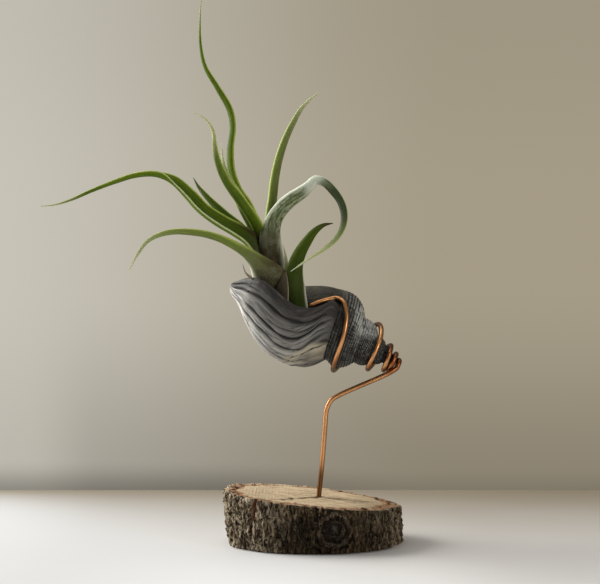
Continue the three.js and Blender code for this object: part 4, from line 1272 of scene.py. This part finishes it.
class ShellForm:
    """The shell's form: whorls that grow by one ratio round one axis, which slopes up to the left.

    The suture is where the last whorl meets the one before, as a distance from the apex, and closing is where
    the front end begins to close. The columella is the radius of the pillar in the middle. The lip's edge is
    rounded off by edge_round.
    """

    apex = np.array([34.9, 0, 75.2])
    slope = math.radians(28.1)
    suture = 32.5
    columella = 3.6
    axis = np.array([-math.cos(slope), 0, math.sin(slope)])
    top = np.array([math.sin(slope), 0, math.cos(slope)])
    edge_round = 0.95
    closing = 66
    closing_power = 1.95

    def __init__(self, settings):
        self.length = settings.length
        self.wall = settings.wall
        self.growth = settings.growth

    def droop(self, distance):
        """How far the front end hangs under the axis."""
        return 4 * smooth(self.closing, self.length, distance) ** 2

    def point(self, distance, radius, azimuth):
        """The points at distances from the apex, radii and azimuths in degrees."""
        turn = np.radians(azimuth)
        up = radius * np.cos(turn) - self.droop(distance)
        return (
            self.apex
            + np.multiply.outer(np.asarray(distance, float), self.axis)
            + np.multiply.outer(np.asarray(up, float), self.top)
            + np.multiply.outer(np.asarray(radius * np.sin(turn), float), (0, 1, 0))
        )

    def read(self, points):
        """Distance from the apex, radius and azimuth of points."""
        off = points - self.apex
        distance = off @ self.axis
        up = off @ self.top + self.droop(distance)
        return distance, np.hypot(up, points[..., 1]), np.degrees(np.arctan2(points[..., 1], up))

    def lip(self, distance):
        return along(LIP, distance)

    def whorl(self, distance, turns):
        """The size of the whorl that is outermost there, and how many whorls it lies before the last."""
        size = self.growth ** np.asarray(turns, float)
        size, distance = (np.array(part) for part in np.broadcast_arrays(size, distance))
        back = np.zeros(size.shape)
        most_whorls = 14
        for _ in range(most_whorls):
            older = (distance < self.suture * size) & (size > 1e-3)
            size[older] /= self.growth
            back += older
        return size, back

    def outer(self, distance, turns):
        """Outer radius where the whorl grew to turns of its way: 0 is the lip, -1 a full turn back."""
        size, _ = self.whorl(distance, turns)
        azimuth = np.radians(self.lip(distance) + 360 * turns)
        belly = 1 + 0.12 * (1 - smooth(22, 28, distance)) * (1 - np.cos(azimuth)) / 2
        waist = 1 - 0.2 * smooth(26, 52, distance) * smooth(0.35, 0.7, -turns)
        radius = np.maximum(size * along(WHORL, distance / size) * belly * waist, self.pillar(distance))
        share = np.clip((distance - self.closing) / (self.length - self.closing), 0, 1)
        return radius * (1 - share**self.closing_power) ** (1 / self.closing_power)

    def pillar(self, distance):
        return self.columella * smooth(20, 45, distance) * (1 - 0.6 * smooth(55, 76, distance))

    def lip_roll(self, distance, turns):
        """The thick rolled lip."""
        at_lip = smooth(self.suture + 0.5, self.suture + 5, distance)
        forward = smooth(50, 72, distance)
        return at_lip * (0.5 + 0.5 * forward) * np.exp(-(((turns + 0.02) / 0.019) ** 2))

    def furrows(self, distance, turns):
        """The deep furrows between the great growth ridges, and the flanks of the ridges by them, which the
        finish paints with a highlight.
        """
        furrow = np.zeros(np.shape(turns))
        flank = np.zeros(np.shape(turns))
        for depth, width, line in FURROWS:
            first, last = line[0][0], line[-1][0]
            there = smooth(last - 3, last + 3, distance) * smooth(first + 2, first - 1, distance)
            off = along(line[::-1], distance) - turns
            wide = 0.8 * width * (1 + 0.35 * np.sin(distance * 0.7 + 90 * width))
            furrow = np.maximum(furrow, depth * there * np.exp(-((off / wide) ** 2)))
            flank = np.maximum(flank, depth * there * np.exp(-(((off - 2.6 * width) / (1.5 * width)) ** 2)))
        return furrow, flank

    def rounding(self, distance, turns, radius):
        """How far the lip's edge is rounded off, inside and outside."""
        reach = self.edge_round / (2 * math.pi * np.maximum(radius, 4))
        share = np.clip((turns + reach) / reach, 0, 1)
        past_suture = smooth(self.suture + 0.2, self.suture + 2, distance)
        return past_suture * self.edge_round * (1 - np.sqrt(1 - share**2))

    def wire_bed(self, distance, azimuth, wire_radius):
        """The shell's radius under the wire, smoothed over the wire's own width."""
        reach = wire_radius * 1.6
        bed = 0.0
        for step in (-1, -0.5, 0, 0.5, 1):
            d = np.maximum(0.2, distance + step * reach)
            turns = ((azimuth - self.lip(d)) / 360) % 1 - 1
            off = min(1.0, abs(step * reach) / (wire_radius + reach))
            dip = wire_radius * (1 - math.sqrt(1 - off**2))
            bed = np.maximum(bed, self.outer(d, turns) - dip)
        return bed


# Edges of the shell that bend by more degrees than this are sharp.
SHARP_FROM = 62


def shell_outside(form, material):
    """The closed outside, with its mouth still filled in. Its mesh is finer towards the lip."""
    turns = np.concatenate([
        np.linspace(-1, -0.32, 170, endpoint=False), np.linspace(-0.32, -0.008, 186, endpoint=False),
        -0.008 * np.cos(np.linspace(0, math.pi / 2, 13)),
    ])
    turns[-1] = 0
    distance = np.concatenate([
        form.length * 0.004 * np.linspace(0, 1, 3, endpoint=False),
        np.linspace(0.35, 36, 112, endpoint=False), np.linspace(36, 70, 82, endpoint=False),
        form.length - 8 * np.cos(np.linspace(0, math.pi / 2, 26)),
    ])
    across, down = np.meshgrid(turns, distance, indexing="ij")
    radius = form.outer(down, across)
    radius = radius + form.lip_roll(down, across) * smooth(0, 4, radius) - form.rounding(down, across, radius)
    radius = np.maximum(radius, 0.02)
    radius[:, [0, -1]] = 0
    points = form.point(down, radius, form.lip(down) + 360 * across)
    columns, rows = across.shape
    faces = []
    for i in range(columns):
        a, b = i * rows, ((i + 1) % columns) * rows
        for j in range(rows - 1):
            faces.append((a + j, b + j, b + j + 1, a + j + 1))
    made = mesh_object("shell_of_snail", points.reshape(-1, 3), faces, [material])
    face_outwards(made.data)
    return made


def shell_room(form):
    """The spiral room inside, which opens at the lip."""
    rows, past, room_turns, least = 30, 0.03, 1.35, 0.35
    rings = []
    round_edge = form.edge_round / (2 * math.pi * 24) * -(1 - np.cos(np.linspace(0, math.pi / 2, 8)))
    steps = np.concatenate([
        np.linspace(past, 0.001, 6), round_edge, np.linspace(-0.012, -room_turns, 130)])
    for turns in steps:
        size = form.growth**turns
        lip_turns = min(0.0, turns)

        def ceiling(d):
            radius = form.outer(d, np.full_like(d, lip_turns))
            opened = form.rounding(d, np.full_like(d, lip_turns), radius)
            return radius * max(1.0, size) - form.wall + opened + 0.35 * form.lip_roll(d, lip_turns)

        def floor(d):
            return np.maximum(form.outer(d, np.full_like(d, turns - 1)), form.pillar(d)) + 0.15

        front_end = min(74, 96 * size)
        reach = np.arange(form.suture * size, front_end, 0.1)
        room = reach[ceiling(reach) - floor(reach) > least]
        d = np.linspace(room[0], room[-1], rows + 1)
        azimuth = form.lip(d) + 360 * turns
        outer = form.point(d, np.maximum(ceiling(d), floor(d) + least), azimuth)
        inner = form.point(d, floor(d), azimuth)
        rings.append(np.vstack([outer, inner[::-1]]))
    count = 2 * (rows + 1)
    faces = grid_faces(len(rings), count)
    last = (len(rings) - 1) * count
    for k in range(rows):
        faces.append((k, k + 1, count - 2 - k, count - 1 - k))
        faces.append(tuple(last + n for n in (k + 1, k, count - 1 - k, count - 2 - k)))
    made = mesh_object("shell_room", np.vstack(rings), faces, [])
    face_outwards(made.data)
    return made


def shell_ridges_tree():
    """Growth ridges along the lip's line and spiral cords round the whorls, as relief on the shell."""
    graph = GeometryGraph("shell_ridges", {
        "Ridges per Turn": FLOAT, "Ridge Height": FLOAT, "Cords per Whorl": FLOAT, "Cord Height": FLOAT,
        "Whorl Growth": FLOAT, "Shell": MATERIAL})
    given = graph.inputs
    turn = graph.attribute("growth_turn")
    place = graph.attribute("whorl_place")
    outside = graph.minus(1.0, graph.attribute("inner"))
    wander = graph.noise_over(turn, place, 7.0, 0.05, 2)
    quiver = graph.noise_over(turn, place, 30.0, 0.11, 2)
    phase = graph.times(swept_back(graph, turn, place), given["Ridges per Turn"])
    phase = graph.plus(phase, graph.times_plus(wander, 3.2, graph.times(quiver, 0.6)))
    wave = graph.math("ABSOLUTE", graph.sine(graph.times(phase, math.pi)))
    low = graph.noise_over(phase, place, 0.55, 0.03, 1)
    wave = graph.most(wave, graph.step(low, 0.48, 0.64, 0.0, 0.22))
    crest = graph.math("POWER", wave, 0.55)
    young = graph.step(turn, -0.62, -0.36, 0.12, 1.0)
    off_suture = graph.step(place, 33.0, 38.0, 0.35, 1.0)
    off_lip = graph.step(turn, -0.31, -0.26, 1.0, 0.22)
    uneven = graph.step(graph.noise_over(phase, place, 0.9, 0.04, 1), 0.25, 0.7, 0.55, 1.15)
    ridges = graph.times(graph.minus(crest, 0.72), graph.times(young, off_suture, off_lip, uneven))
    furrow = graph.times(graph.attribute("furrow"), -0.7)
    great = graph.times_plus(graph.attribute("flank"), 0.25, furrow)
    ridges = graph.times(graph.plus(ridges, great), given["Ridge Height"])
    size = graph.logarithm(graph.math("DIVIDE", place, ShellForm.suture))
    octave = graph.math("DIVIDE", size, graph.logarithm(given["Whorl Growth"]))
    cord = graph.sine(graph.times(octave, given["Cords per Whorl"], 2 * math.pi))
    cord = graph.times(cord, graph.step(graph.attribute("spire"), 0.0, 1.0, 0.12, 1.0))
    height = graph.times_plus(cord, given["Cord Height"], ridges)
    height = graph.times(height, outside, MM)
    there = graph.times(young, off_lip)
    mask = graph.times_plus(crest, there, graph.minus(1.0, there))
    body = graph.pushed(graph.store(given["Geometry"], "ridge", mask), height)
    graph.finish(graph.coated(body, given["Shell"]))
    return graph


def mark_shell(form, made):
    """Puts the places on the shell that its relief and finish follow."""
    points = places(made.data)
    distance, radius, azimuth = form.read(points)
    turns = ((azimuth - form.lip(distance)) / 360) % 1 - 1
    at_edge = (turns < -0.985) & (distance > form.suture) & (
        radius > form.outer(distance, np.full_like(turns, -1.0)) + 0.5)
    turns[at_edge] = 0
    size, back = form.whorl(distance, turns)
    full = form.outer(distance, turns)
    below = full - radius
    inner = smooth(0.9, 1.7, below) * smooth(6, 14, distance)
    grown = turns - back
    whorl_place = distance / size
    spire = np.maximum(np.minimum(back, 1), smooth(-0.42, -0.7, grown) * smooth(40, 34, whorl_place))
    oldest = smooth(-0.62, -0.74, grown) * (back < 1)
    spire = np.maximum(spire, oldest * smooth(55, 49, whorl_place))
    stained = oldest * smooth(49, 55, whorl_place)
    spot = stack(grown * 9, whorl_place / 9, 0 * grown)
    streaky = stack(grown * 60, whorl_place / 12, 0 * grown)
    bleached = smooth(64, 70, distance) * smooth(-0.066, -0.082, grown) * smooth(-0.24, -0.16, grown)
    low_left = smooth(46, 66, distance) * smooth(-0.12, -0.17, grown) * smooth(-0.45, -0.3, grown) * 0.6
    ragged = smooth(-0.6, 0.3, fractal(streaky, 3, 5))
    worn = np.clip((1.2 * bleached + low_left) * ragged, 0, 1) * 0.92
    yellowed = smooth(-0.15, -0.175, grown) * smooth(-0.36, -0.30, grown) * smooth(46, 39, distance) * 0.9
    furrow, flank = form.furrows(distance, turns)
    outside = (1 - inner) * (1 - np.clip(spire, 0, 1))
    for name, numbers in {
        "growth_turn": grown, "whorl_place": whorl_place, "inner": inner, "spire": spire * (1 - inner),
        "furrow": furrow * outside, "flank": flank * outside, "stained": stained * (1 - inner),
        "bleached": worn, "yellowed": yellowed * smooth(-0.5, 0.3, fractal(spot, 2, 9)),
    }.items():
        put_values(made.data, name, numbers)


# ---- the wire ----


# The room between the wire and the shell, the distance between rings of the wire's mesh, how many sides it
# has and how deep its dents are.
WIRE_ROOM = 0.32
WIRE_STEP = 0.55
WIRE_SIDES = 20
WIRE_DENTS = 0.02


def wire_route(form, radius):
    """The line of the wire's middle from its foot in the slice to its end at the shell's mouth."""
    coil_points, wrap_points = 44, 60
    coil_azimuth = np.linspace(WIRE_COIL[0][0], WIRE_COIL[-1][0], coil_points)
    distance, out, sag = (along([(row[0], row[k]) for row in WIRE_COIL], coil_azimuth) for k in (1, 2, 3))
    coil = form.point(distance, out, coil_azimuth) - np.multiply.outer(sag, form.top)
    wrap_azimuth = np.linspace(WIRE_ROUND_SHELL[0][0], WIRE_ROUND_SHELL[-1][0], wrap_points)
    distance = along(WIRE_ROUND_SHELL, wrap_azimuth)
    bed = form.wire_bed(distance, wrap_azimuth, radius)
    wrap = form.point(distance, bed + radius + WIRE_ROOM, wrap_azimuth)
    tail = np.array([form.point(*row) for row in WIRE_TAIL])
    return Route([*WIRE_POST, *coil, *wrap, *tail], per_span=12)


def drawn_wire_tree():
    """A round wire along a line, with rounded ends and faint dents."""
    graph = GeometryGraph("drawn_wire", {
        "Wire Radius": FLOAT, "Sides": WHOLE, "Dents": FLOAT, "Copper": MATERIAL})
    given = graph.inputs
    line = graph.add("GeometryNodeMeshToCurve", {"Mesh": given["Geometry"]}).outputs[0]
    thinned = graph.add("GeometryNodeSetCurveRadius", {"Curve": line, "Radius": graph.attribute("end_round")})
    ring = graph.add("GeometryNodeCurvePrimitiveCircle", {
        "Resolution": given["Sides"], "Radius": given["Wire Radius"]})
    swept = graph.add("GeometryNodeCurveToMesh", {
        "Curve": thinned.outputs[0], "Profile Curve": ring.outputs["Curve"], "Fill Caps": True,
        "Scale": graph.attribute("end_round")})
    dent = graph.add("ShaderNodeTexNoise", {"Scale": 210.0, "Detail": 1.0}).outputs[0]
    body = graph.pushed(swept.outputs[0], graph.times(graph.minus(dent, 0.5), given["Dents"]))
    body = graph.on(body, "SetShadeSmooth", {"Shade Smooth": True})
    graph.finish(graph.coated(body, given["Copper"]))
    return graph


# ---- the plant ----


def transported(face, ways):
    """A side-on direction carried along a line without twisting."""
    faces = []
    current = np.array(face, float)
    for way in ways:
        current = current - way * (current @ way)
        current = current / np.linalg.norm(current)
        faces.append(current)
    return np.array(faces)


def leaf_object(name, leaf, settings):
    """A leaf: a gutter along its line, thick in the middle and thin at its margins, tapering to a point."""
    route = Route(leaf["spine"])
    seed = sum(ord(letter) for letter in name)
    steps = max(24, int(route.length / settings.spacing))
    share = np.linspace(0, 1, steps + 1)
    share[-6:] = 1 - (1 - share[-6]) * np.linspace(1, 0, 6) ** 1.6
    centre = route.at(share)
    way = route.ways(share)
    face = transported(leaf["face"], way)
    run = share * route.length

    def mark(key):
        """One of the leaf's masks along its length, or 0 where the leaf doesn't name it."""
        return along(leaf.get(key, [(0, 0), (1, 0)]), share)

    sway = 0.10 * noise(stack(run / 17, 0 * run, 0 * run + seed), 3) * smooth(0.1, 0.3, share)
    sway = sway + np.radians(mark("turn"))
    side = np.cross(way, face)
    face, side = (
        face * np.cos(sway)[:, None] + side * np.sin(sway)[:, None],
        side * np.cos(sway)[:, None] - face * np.sin(sway)[:, None],
    )
    chord = along(leaf["widths"], share) * (1 + 0.035 * noise(stack(run / 6, 0 * run, 0 * run + seed), 9))
    fold = 1.9 + 0.8 * smooth(0.05, 0.45, share) - 0.5 * smooth(0.6, 1, share)
    bend = chord / 2 / np.sin(fold / 2)
    depth = bend * (1 - np.cos(fold / 2))
    thick = np.minimum(leaf["thick"], chord * 0.26)
    spans = 20
    # The lanes across the leaf, which lie closer together towards its margins.
    u = np.sin(np.linspace(-math.pi / 2, math.pi / 2, spans + 1))
    u = 0.65 * u + 0.35 * np.linspace(-1, 1, spans + 1)
    bulge = (1 - 0.6 * u**2) * np.sqrt(np.clip(1 - np.abs(u) ** 9, 0, 1))
    ragged = leaf.get("ragged", 0.02)

    def surface(sign, lanes):
        """The leaf's back, sign 1, or its hollow side, sign -1, at some of the lanes across it."""
        turn = u[lanes][None, :] * (fold / 2)[:, None]
        half = sign * bulge[lanes][None, :] * (thick / 2)[:, None]
        reach = np.abs(u[lanes])[None, :] ** 6
        torn = noise(stack(run[:, None] / 1.3, np.sign(u[lanes])[None, :] * 3, 0 * turn + seed), 13)
        tear = ragged * torn * reach
        keel = 0.10 * thick[:, None] * np.exp(-((u[lanes][None, :] / 0.16) ** 2)) * (sign > 0)
        radius = np.maximum(bend[:, None] + half + keel, 0.12 * bend[:, None])
        turn = turn * (1 + tear / np.maximum(chord[:, None], 1))
        return (
            centre[:, None, :]
            + side[:, None, :] * (radius * np.sin(turn))[..., None]
            + face[:, None, :] * (bend[:, None] - radius * np.cos(turn) - depth[:, None] / 2)[..., None]
        )

    back = surface(1, np.arange(spans + 1))
    hollow = surface(-1, np.arange(spans - 1, 0, -1))
    rings = np.concatenate([back, hollow], axis=1)
    lanes = np.concatenate([u, u[1:-1][::-1]])
    count = rings.shape[1]
    faces = grid_faces(steps + 1, count)
    for first, flip in ((0, False), (steps * count, True)):
        for k in range(spans):
            low, high = (count - k) % count, count - k - 1
            quad = (k, k + 1, high, low)
            quad = tuple(dict.fromkeys(quad))
            if len(quad) > 2:
                faces.append(tuple(first + n for n in (quad if flip else quad[::-1])))

    def grid(numbers):
        return np.broadcast_to(numbers[:, None], (steps + 1, count))

    tip = leaf.get("tip", 2)
    silvery = mark("silver")[:, None]
    silver = np.abs(silvery) * smooth(leaf.get("silver_from", 0.6), 0.95, np.sign(silvery) * lanes[None, :])
    margin = smooth(0.4, 0.9, -np.sign(silvery) * lanes[None, :])
    left, right = leaf.get("edges", (1, 1))
    edge = smooth(leaf.get("rim_from", 0.72), 0.95, np.abs(lanes)) * np.where(lanes < 0, left, right)
    at_base = smooth(0.34, 0.14, share)[:, None]
    uneven = smooth(-0.9, 0.1, noise(
        stack(run[:, None] / 4, lanes[None, :] * 2 + 0 * run[:, None], 0 * run[:, None] + seed), 17))
    values = {
        "along": grid(share),
        "across": np.broadcast_to(lanes, (steps + 1, count)),
        "width": grid(chord),
        "scaly": grid(mark("scaly")),
        "pale": grid(mark("pale")) * 0.85,
        "shade": grid(mark("shade")),
        "yellowing": grid(np.maximum(smooth(tip - 0.12, tip + 0.06, share) * 0.85, mark("yellowed"))),
        "silver": silver * 0.9,
        "edge": np.broadcast_to(edge, (steps + 1, count)),
        "brown": np.maximum(margin * at_base * 0.9, grid(mark("browned"))) * uneven,
    }
    if leaf.get("dry"):
        finish = leaf_skin("dry_skin", settings, dry=True)
    elif leaf.get("grey"):
        finish = leaf_skin("scaly_skin", settings, grey=True)
    else:
        finish = leaf_skin("green_skin", settings)
    return mesh_object("blade_of_" + name, rings.reshape(-1, 3), faces, [finish], values)


def stem_object(settings):
    """The short stem, ringed by old leaf scars."""
    route = Route([STEM_BASE, np.mean([STEM_BASE, STEM_TOP], axis=0) + (0.3, 0.2, 0), STEM_TOP])
    rows, sides = 60, 40
    share = np.linspace(0, 1, rows)
    way = route.ways(share)
    face = transported((1, 0, 0), way)
    side = np.cross(way, face)
    turn = np.linspace(0, 2 * math.pi, sides, endpoint=False)
    scars = 0.25 * np.abs(np.sin(share * 22))[:, None] * np.ones(sides)
    radius = (4.4 - 2.1 * share)[:, None] - 0.3 + scars + 0.2 * np.sin(turn * 5 + share[:, None] * 9)
    radius *= np.sqrt(np.clip(1 - np.abs(2 * share - 1) ** 30, 0.02, 1))[:, None]
    rings = (
        route.at(share)[:, None, :]
        + face[:, None, :] * (radius * np.cos(turn))[..., None]
        + side[:, None, :] * (radius * np.sin(turn))[..., None]
    )
    faces = grid_faces(rows, sides)
    faces.append(tuple(range(sides - 1, -1, -1)))
    faces.append(tuple((rows - 1) * sides + j for j in range(sides)))
    blank = np.zeros((rows, sides))
    values = {
        "along": blank + share[:, None], "across": blank + np.cos(turn), "width": blank + 8,
        "scaly": blank + 0.7, "pale": blank, "shade": blank + 0.6, "yellowing": blank, "silver": blank,
        "edge": blank, "brown": blank + 0.4,
    }
    skin = leaf_skin("stem_skin", settings)
    made = mesh_object("stem_of_plant", rings.reshape(-1, 3), faces, [skin], values)
    face_outwards(made.data)
    return made


# ---- operators ----


class AIRPLANT_OT_slice(bpy.types.Operator):
    """Makes the slice of log with its bark"""

    bl_idname = "airplant.slice"
    bl_label = "Slice of Log"

    def execute(self, context):
        settings = context.scene.air_plant.slice
        made = slice_object(settings)
        wall_area = 2 * math.pi * settings.radius * settings.thickness * MM * MM
        bark_flakes_tree().apply_to(made, {
            "Flakes per Square Metre": settings.flakes / wall_area, "Flake Size": FLAKE_SIZE * MM,
            "Seed": FLAKE_SEED, "Top Fall": settings.top_fall, "Bark": rough_bark(settings),
        })
        settle(made, "wood_slice")
        return {"FINISHED"}


class AIRPLANT_OT_shell(bpy.types.Operator):
    """Makes the snail's shell"""

    bl_idname = "airplant.shell"
    bl_label = "Shell"

    def execute(self, context):
        settings = context.scene.air_plant.shell
        form = ShellForm(settings)
        finish = worn_shell(settings)
        made = shell_outside(form, finish)
        room = shell_room(form)
        cut = made.modifiers.new("room", "BOOLEAN")
        cut.operation = "DIFFERENCE"
        cut.solver = "MANIFOLD"
        cut.object = room
        apply_modifiers(made)
        bpy.data.objects.remove(room)
        mark_shell(form, made)
        shell_ridges_tree().apply_to(made, {
            "Ridges per Turn": float(settings.ridges), "Ridge Height": settings.ridge_height,
            "Cords per Whorl": float(settings.cords), "Cord Height": settings.cord_height,
            "Whorl Growth": settings.growth, "Shell": finish,
        })
        made.data.shade_smooth()
        made.data.set_sharp_from_angle(angle=math.radians(SHARP_FROM))
        settle(made, "sea_shell")
        return {"FINISHED"}


class AIRPLANT_OT_wire(bpy.types.Operator):
    """Makes the copper wire"""

    bl_idname = "airplant.wire"
    bl_label = "Copper Wire"

    def execute(self, context):
        settings = context.scene.air_plant.wire
        form = ShellForm(context.scene.air_plant.shell)
        route = wire_route(form, settings.radius)
        steps = int(route.length / WIRE_STEP)
        share = np.linspace(0, 1, steps + 1)
        from_end = (1 - share) * route.length / settings.radius
        end_round = np.sqrt(np.clip(1 - np.clip(1 - from_end, 0, 1) ** 2, 0.05, 1))
        edges = [(i, i + 1) for i in range(steps)]
        made = mesh_object("wire_of_copper", route.at(share), [], [], {"end_round": end_round}, edges=edges)
        drawn_wire_tree().apply_to(made, {
            "Wire Radius": settings.radius * MM, "Sides": WIRE_SIDES, "Dents": WIRE_DENTS * MM,
            "Copper": bare_copper(settings),
        })
        settle(made, "copper_wire")
        return {"FINISHED"}


class AIRPLANT_OT_plant(bpy.types.Operator):
    """Makes the plant: its stem and every leaf"""

    bl_idname = "airplant.plant"
    bl_label = "Plant"

    def execute(self, context):
        settings = context.scene.air_plant.plant
        settle(stem_object(settings), "stem")
        for name, leaf in LEAVES.items():
            settle(leaf_object(name, leaf, settings), name)
        return {"FINISHED"}


CAMERA_PLACE = (-5.9, -714, 104.6)
CAMERA_LENS = 102
CAMERA_SENSOR = 36
WALL_BEHIND = 184
TABLE_HALF = 3000
WALL_LOW = -5
WALL_HIGH = 2500

# Each light: its share of the window's power, its place, where it aims, its size in metres and its tint.
LIGHTS = {
    "window_light": (1.0, (-1050, 470, 600), (-20, 10, 90), (0.9, 1.0), (1.0, 0.98, 0.94)),
    "far_window": (0.06, (520, -680, 300), (10, 0, 70), (0.12, 0.5), (1.0, 0.96, 0.9)),
    "ceiling_light": (0.13, (-200, 150, 900), (0, 0, 60), (0.8, 0.8), (0.97, 0.98, 1.0)),
}


def wall_material(settings):
    """A wall that glows softly, more to the left and less towards the table. It shows from one side only."""
    made = bpy.data.materials.new("plain_wall")
    made.use_nodes = True
    tree = made.node_tree
    tree.nodes.clear()
    graph = Graph(tree)
    place = graph.add("ShaderNodeTexCoord").outputs["Object"]
    x, _, z = graph.apart(place)
    tone = graph.mix(graph.step(x, 0.08, -0.2), tuple(settings.wall), (0.58, 0.555, 0.485))
    far_left = graph.step(x, -0.11, -0.15)
    low = graph.step(z, 0.0, 0.11, graph.times_plus(far_left, 0.17, 0.70), 1.0)
    dim = graph.step(x, 0.06, -0.05, 0.80, 0.53)
    foot = graph.step(z, -0.002, graph.step(x, 0.06, -0.05, 0.012, 0.0165), dim, 1.0)
    top = graph.step(z, 0.15, 0.26, 1.0, 0.93)
    strength = graph.times(low, foot, top)
    glow = graph.add("ShaderNodeEmission", {"Color": tone, "Strength": strength})
    clear = graph.add("ShaderNodeBsdfTransparent")
    mixed = graph.add("ShaderNodeMixShader")
    passed = graph.most(
        graph.add("ShaderNodeNewGeometry").outputs["Backfacing"],
        graph.add("ShaderNodeLightPath").outputs["Is Shadow Ray"])
    for socket, value in zip(mixed.inputs, (passed, glow.outputs[0], clear.outputs[0])):
        graph.feed(socket, value)
    graph.add("ShaderNodeOutputMaterial", {"Surface": mixed.outputs[0]})
    return made


def table_material(settings):
    """A pale satin table top with painted light and shade: dimmer towards the wall, darker at the left and
    lighter across the middle, with a painted contact shade in front of the slice.
    """

    def build(graph):
        place = graph.add("ShaderNodeTexCoord").outputs["Object"]
        x, y, _ = graph.apart(place)
        # Painted shade: the top darkens towards the wall, over a reach that grows towards the right.
        from_wall = graph.minus(WALL_BEHIND * MM, y)
        reach = graph.step(x, -0.19, 0.06, 0.036, 0.25)
        share = graph.math("POWER", graph.most(graph.math("DIVIDE", from_wall, reach), 0.0), 1.5)
        far = graph.math("EXPONENT", graph.times(share, -1.0))
        # Painted light: the top is painted darker at the left, lighter across the middle and plain at the
        # right.
        left = tuple(0.77 * c for c in settings.table)
        middle = tuple(1.16 * c for c in settings.table)
        near = graph.mix(graph.step(x, -0.11, 0.01), left, middle)
        near = graph.mix(graph.step(x, 0.03, 0.08), near, tuple(settings.table))
        tone = graph.mix(far, near, (0.19, 0.157, 0.112))
        # Painted contact shadow in front of the slice.
        contact = graph.times(graph.step(graph.length(place), 0.0405, 0.0368), graph.step(y, -0.014, -0.030))
        tone = graph.mix(graph.times(contact, 0.7), tone, (0.05, 0.045, 0.04))
        cloud = graph.step(graph.noise(place, 9, 3, 0.5), 0.35, 0.7, 0.0, 0.06)
        return {"Base Color": graph.mix(cloud, tone, (0.6, 0.58, 0.54))}

    return finish_material("plain_table", build, Roughness=0.55)


class AIRPLANT_OT_stage(bpy.types.Operator):
    """Sets the table, the wall, the light and the camera"""

    bl_idname = "airplant.stage"
    bl_label = "Stage"

    def execute(self, context):
        settings = context.scene.air_plant.stage
        scene = context.scene
        wide, back = TABLE_HALF, WALL_BEHIND
        table = mesh_object(
            "table_top", [(-wide, -wide, 0), (wide, -wide, 0), (wide, back, 0), (-wide, back, 0)],
            [(0, 1, 2, 3)], [table_material(settings)])
        corners = [(-wide, WALL_LOW), (wide, WALL_LOW), (wide, WALL_HIGH), (-wide, WALL_HIGH)]
        wall = mesh_object(
            "wall_behind", [(x, back, z) for x, z in corners], [(0, 1, 2, 3)], [wall_material(settings)])
        for name, (share, *rest) in LIGHTS.items():
            self.light(scene, name, settings.window * share, *rest)
        world = bpy.data.worlds.new("soft_room")
        world.use_nodes = True
        background = world.node_tree.nodes["Background"]
        background.inputs["Color"].default_value = (0.93, 0.94, 0.9, 1)
        background.inputs["Strength"].default_value = settings.fill
        scene.world = world
        camera = bpy.data.objects.new("camera", bpy.data.cameras.new("camera"))
        camera.data.lens = CAMERA_LENS
        camera.data.sensor_width = CAMERA_SENSOR
        camera.data.clip_start = 0.01
        camera.location = Vector(CAMERA_PLACE) * MM
        camera.rotation_euler = (math.pi / 2, 0, 0)
        scene.collection.objects.link(camera)
        scene.camera = camera
        scene.view_settings.view_transform = "Standard"
        return {"FINISHED"}

    def light(self, scene, name, power, place, aim, size, tint):
        """A broad soft light at a place in millimetres that faces another."""
        lamp = bpy.data.lights.new(name, "AREA")
        lamp.shape = "RECTANGLE"
        lamp.size, lamp.size_y = size
        lamp.energy = power
        lamp.color = tint
        made = bpy.data.objects.new(name, lamp)
        made.location = Vector(place) * MM
        made.rotation_euler = (Vector(place) - Vector(aim)).to_track_quat("Z", "Y").to_euler()
        made.visible_camera = False
        scene.collection.objects.link(made)


class AIRPLANT_PT_panel(bpy.types.Panel):
    """Lists the pieces and their sizes and colours"""

    bl_idname = "AIRPLANT_PT_panel"
    bl_label = "Air Plant"
    bl_space_type = "VIEW_3D"
    bl_region_type = "UI"
    bl_category = "Air Plant"

    def draw(self, context):
        settings = context.scene.air_plant
        groups = (settings.slice, settings.shell, settings.wire, settings.plant, settings.stage)
        for operator, group in zip(OPERATORS, groups):
            box = self.layout.box()
            box.operator(operator.bl_idname)
            for key in group.__annotations__:
                box.prop(group, key)


SETTINGS = (SliceSettings, WireSettings, ShellSettings, PlantSettings, StageSettings, AirPlantSettings)
OPERATORS = (AIRPLANT_OT_slice, AIRPLANT_OT_shell, AIRPLANT_OT_wire, AIRPLANT_OT_plant, AIRPLANT_OT_stage)


def register():
    for kind in (*SETTINGS, *OPERATORS, AIRPLANT_PT_panel):
        bpy.utils.register_class(kind)
    bpy.types.Scene.air_plant = PointerProperty(type=AirPlantSettings)


def unregister():
    del bpy.types.Scene.air_plant
    for kind in reversed((*SETTINGS, *OPERATORS, AIRPLANT_PT_panel)):
        bpy.utils.unregister_class(kind)


def main():
    register()
    bpy.ops.airplant.stage()
    bpy.ops.airplant.slice()
    bpy.ops.airplant.shell()
    bpy.ops.airplant.wire()
    bpy.ops.airplant.plant()


if __name__ == "__main__":
    main()
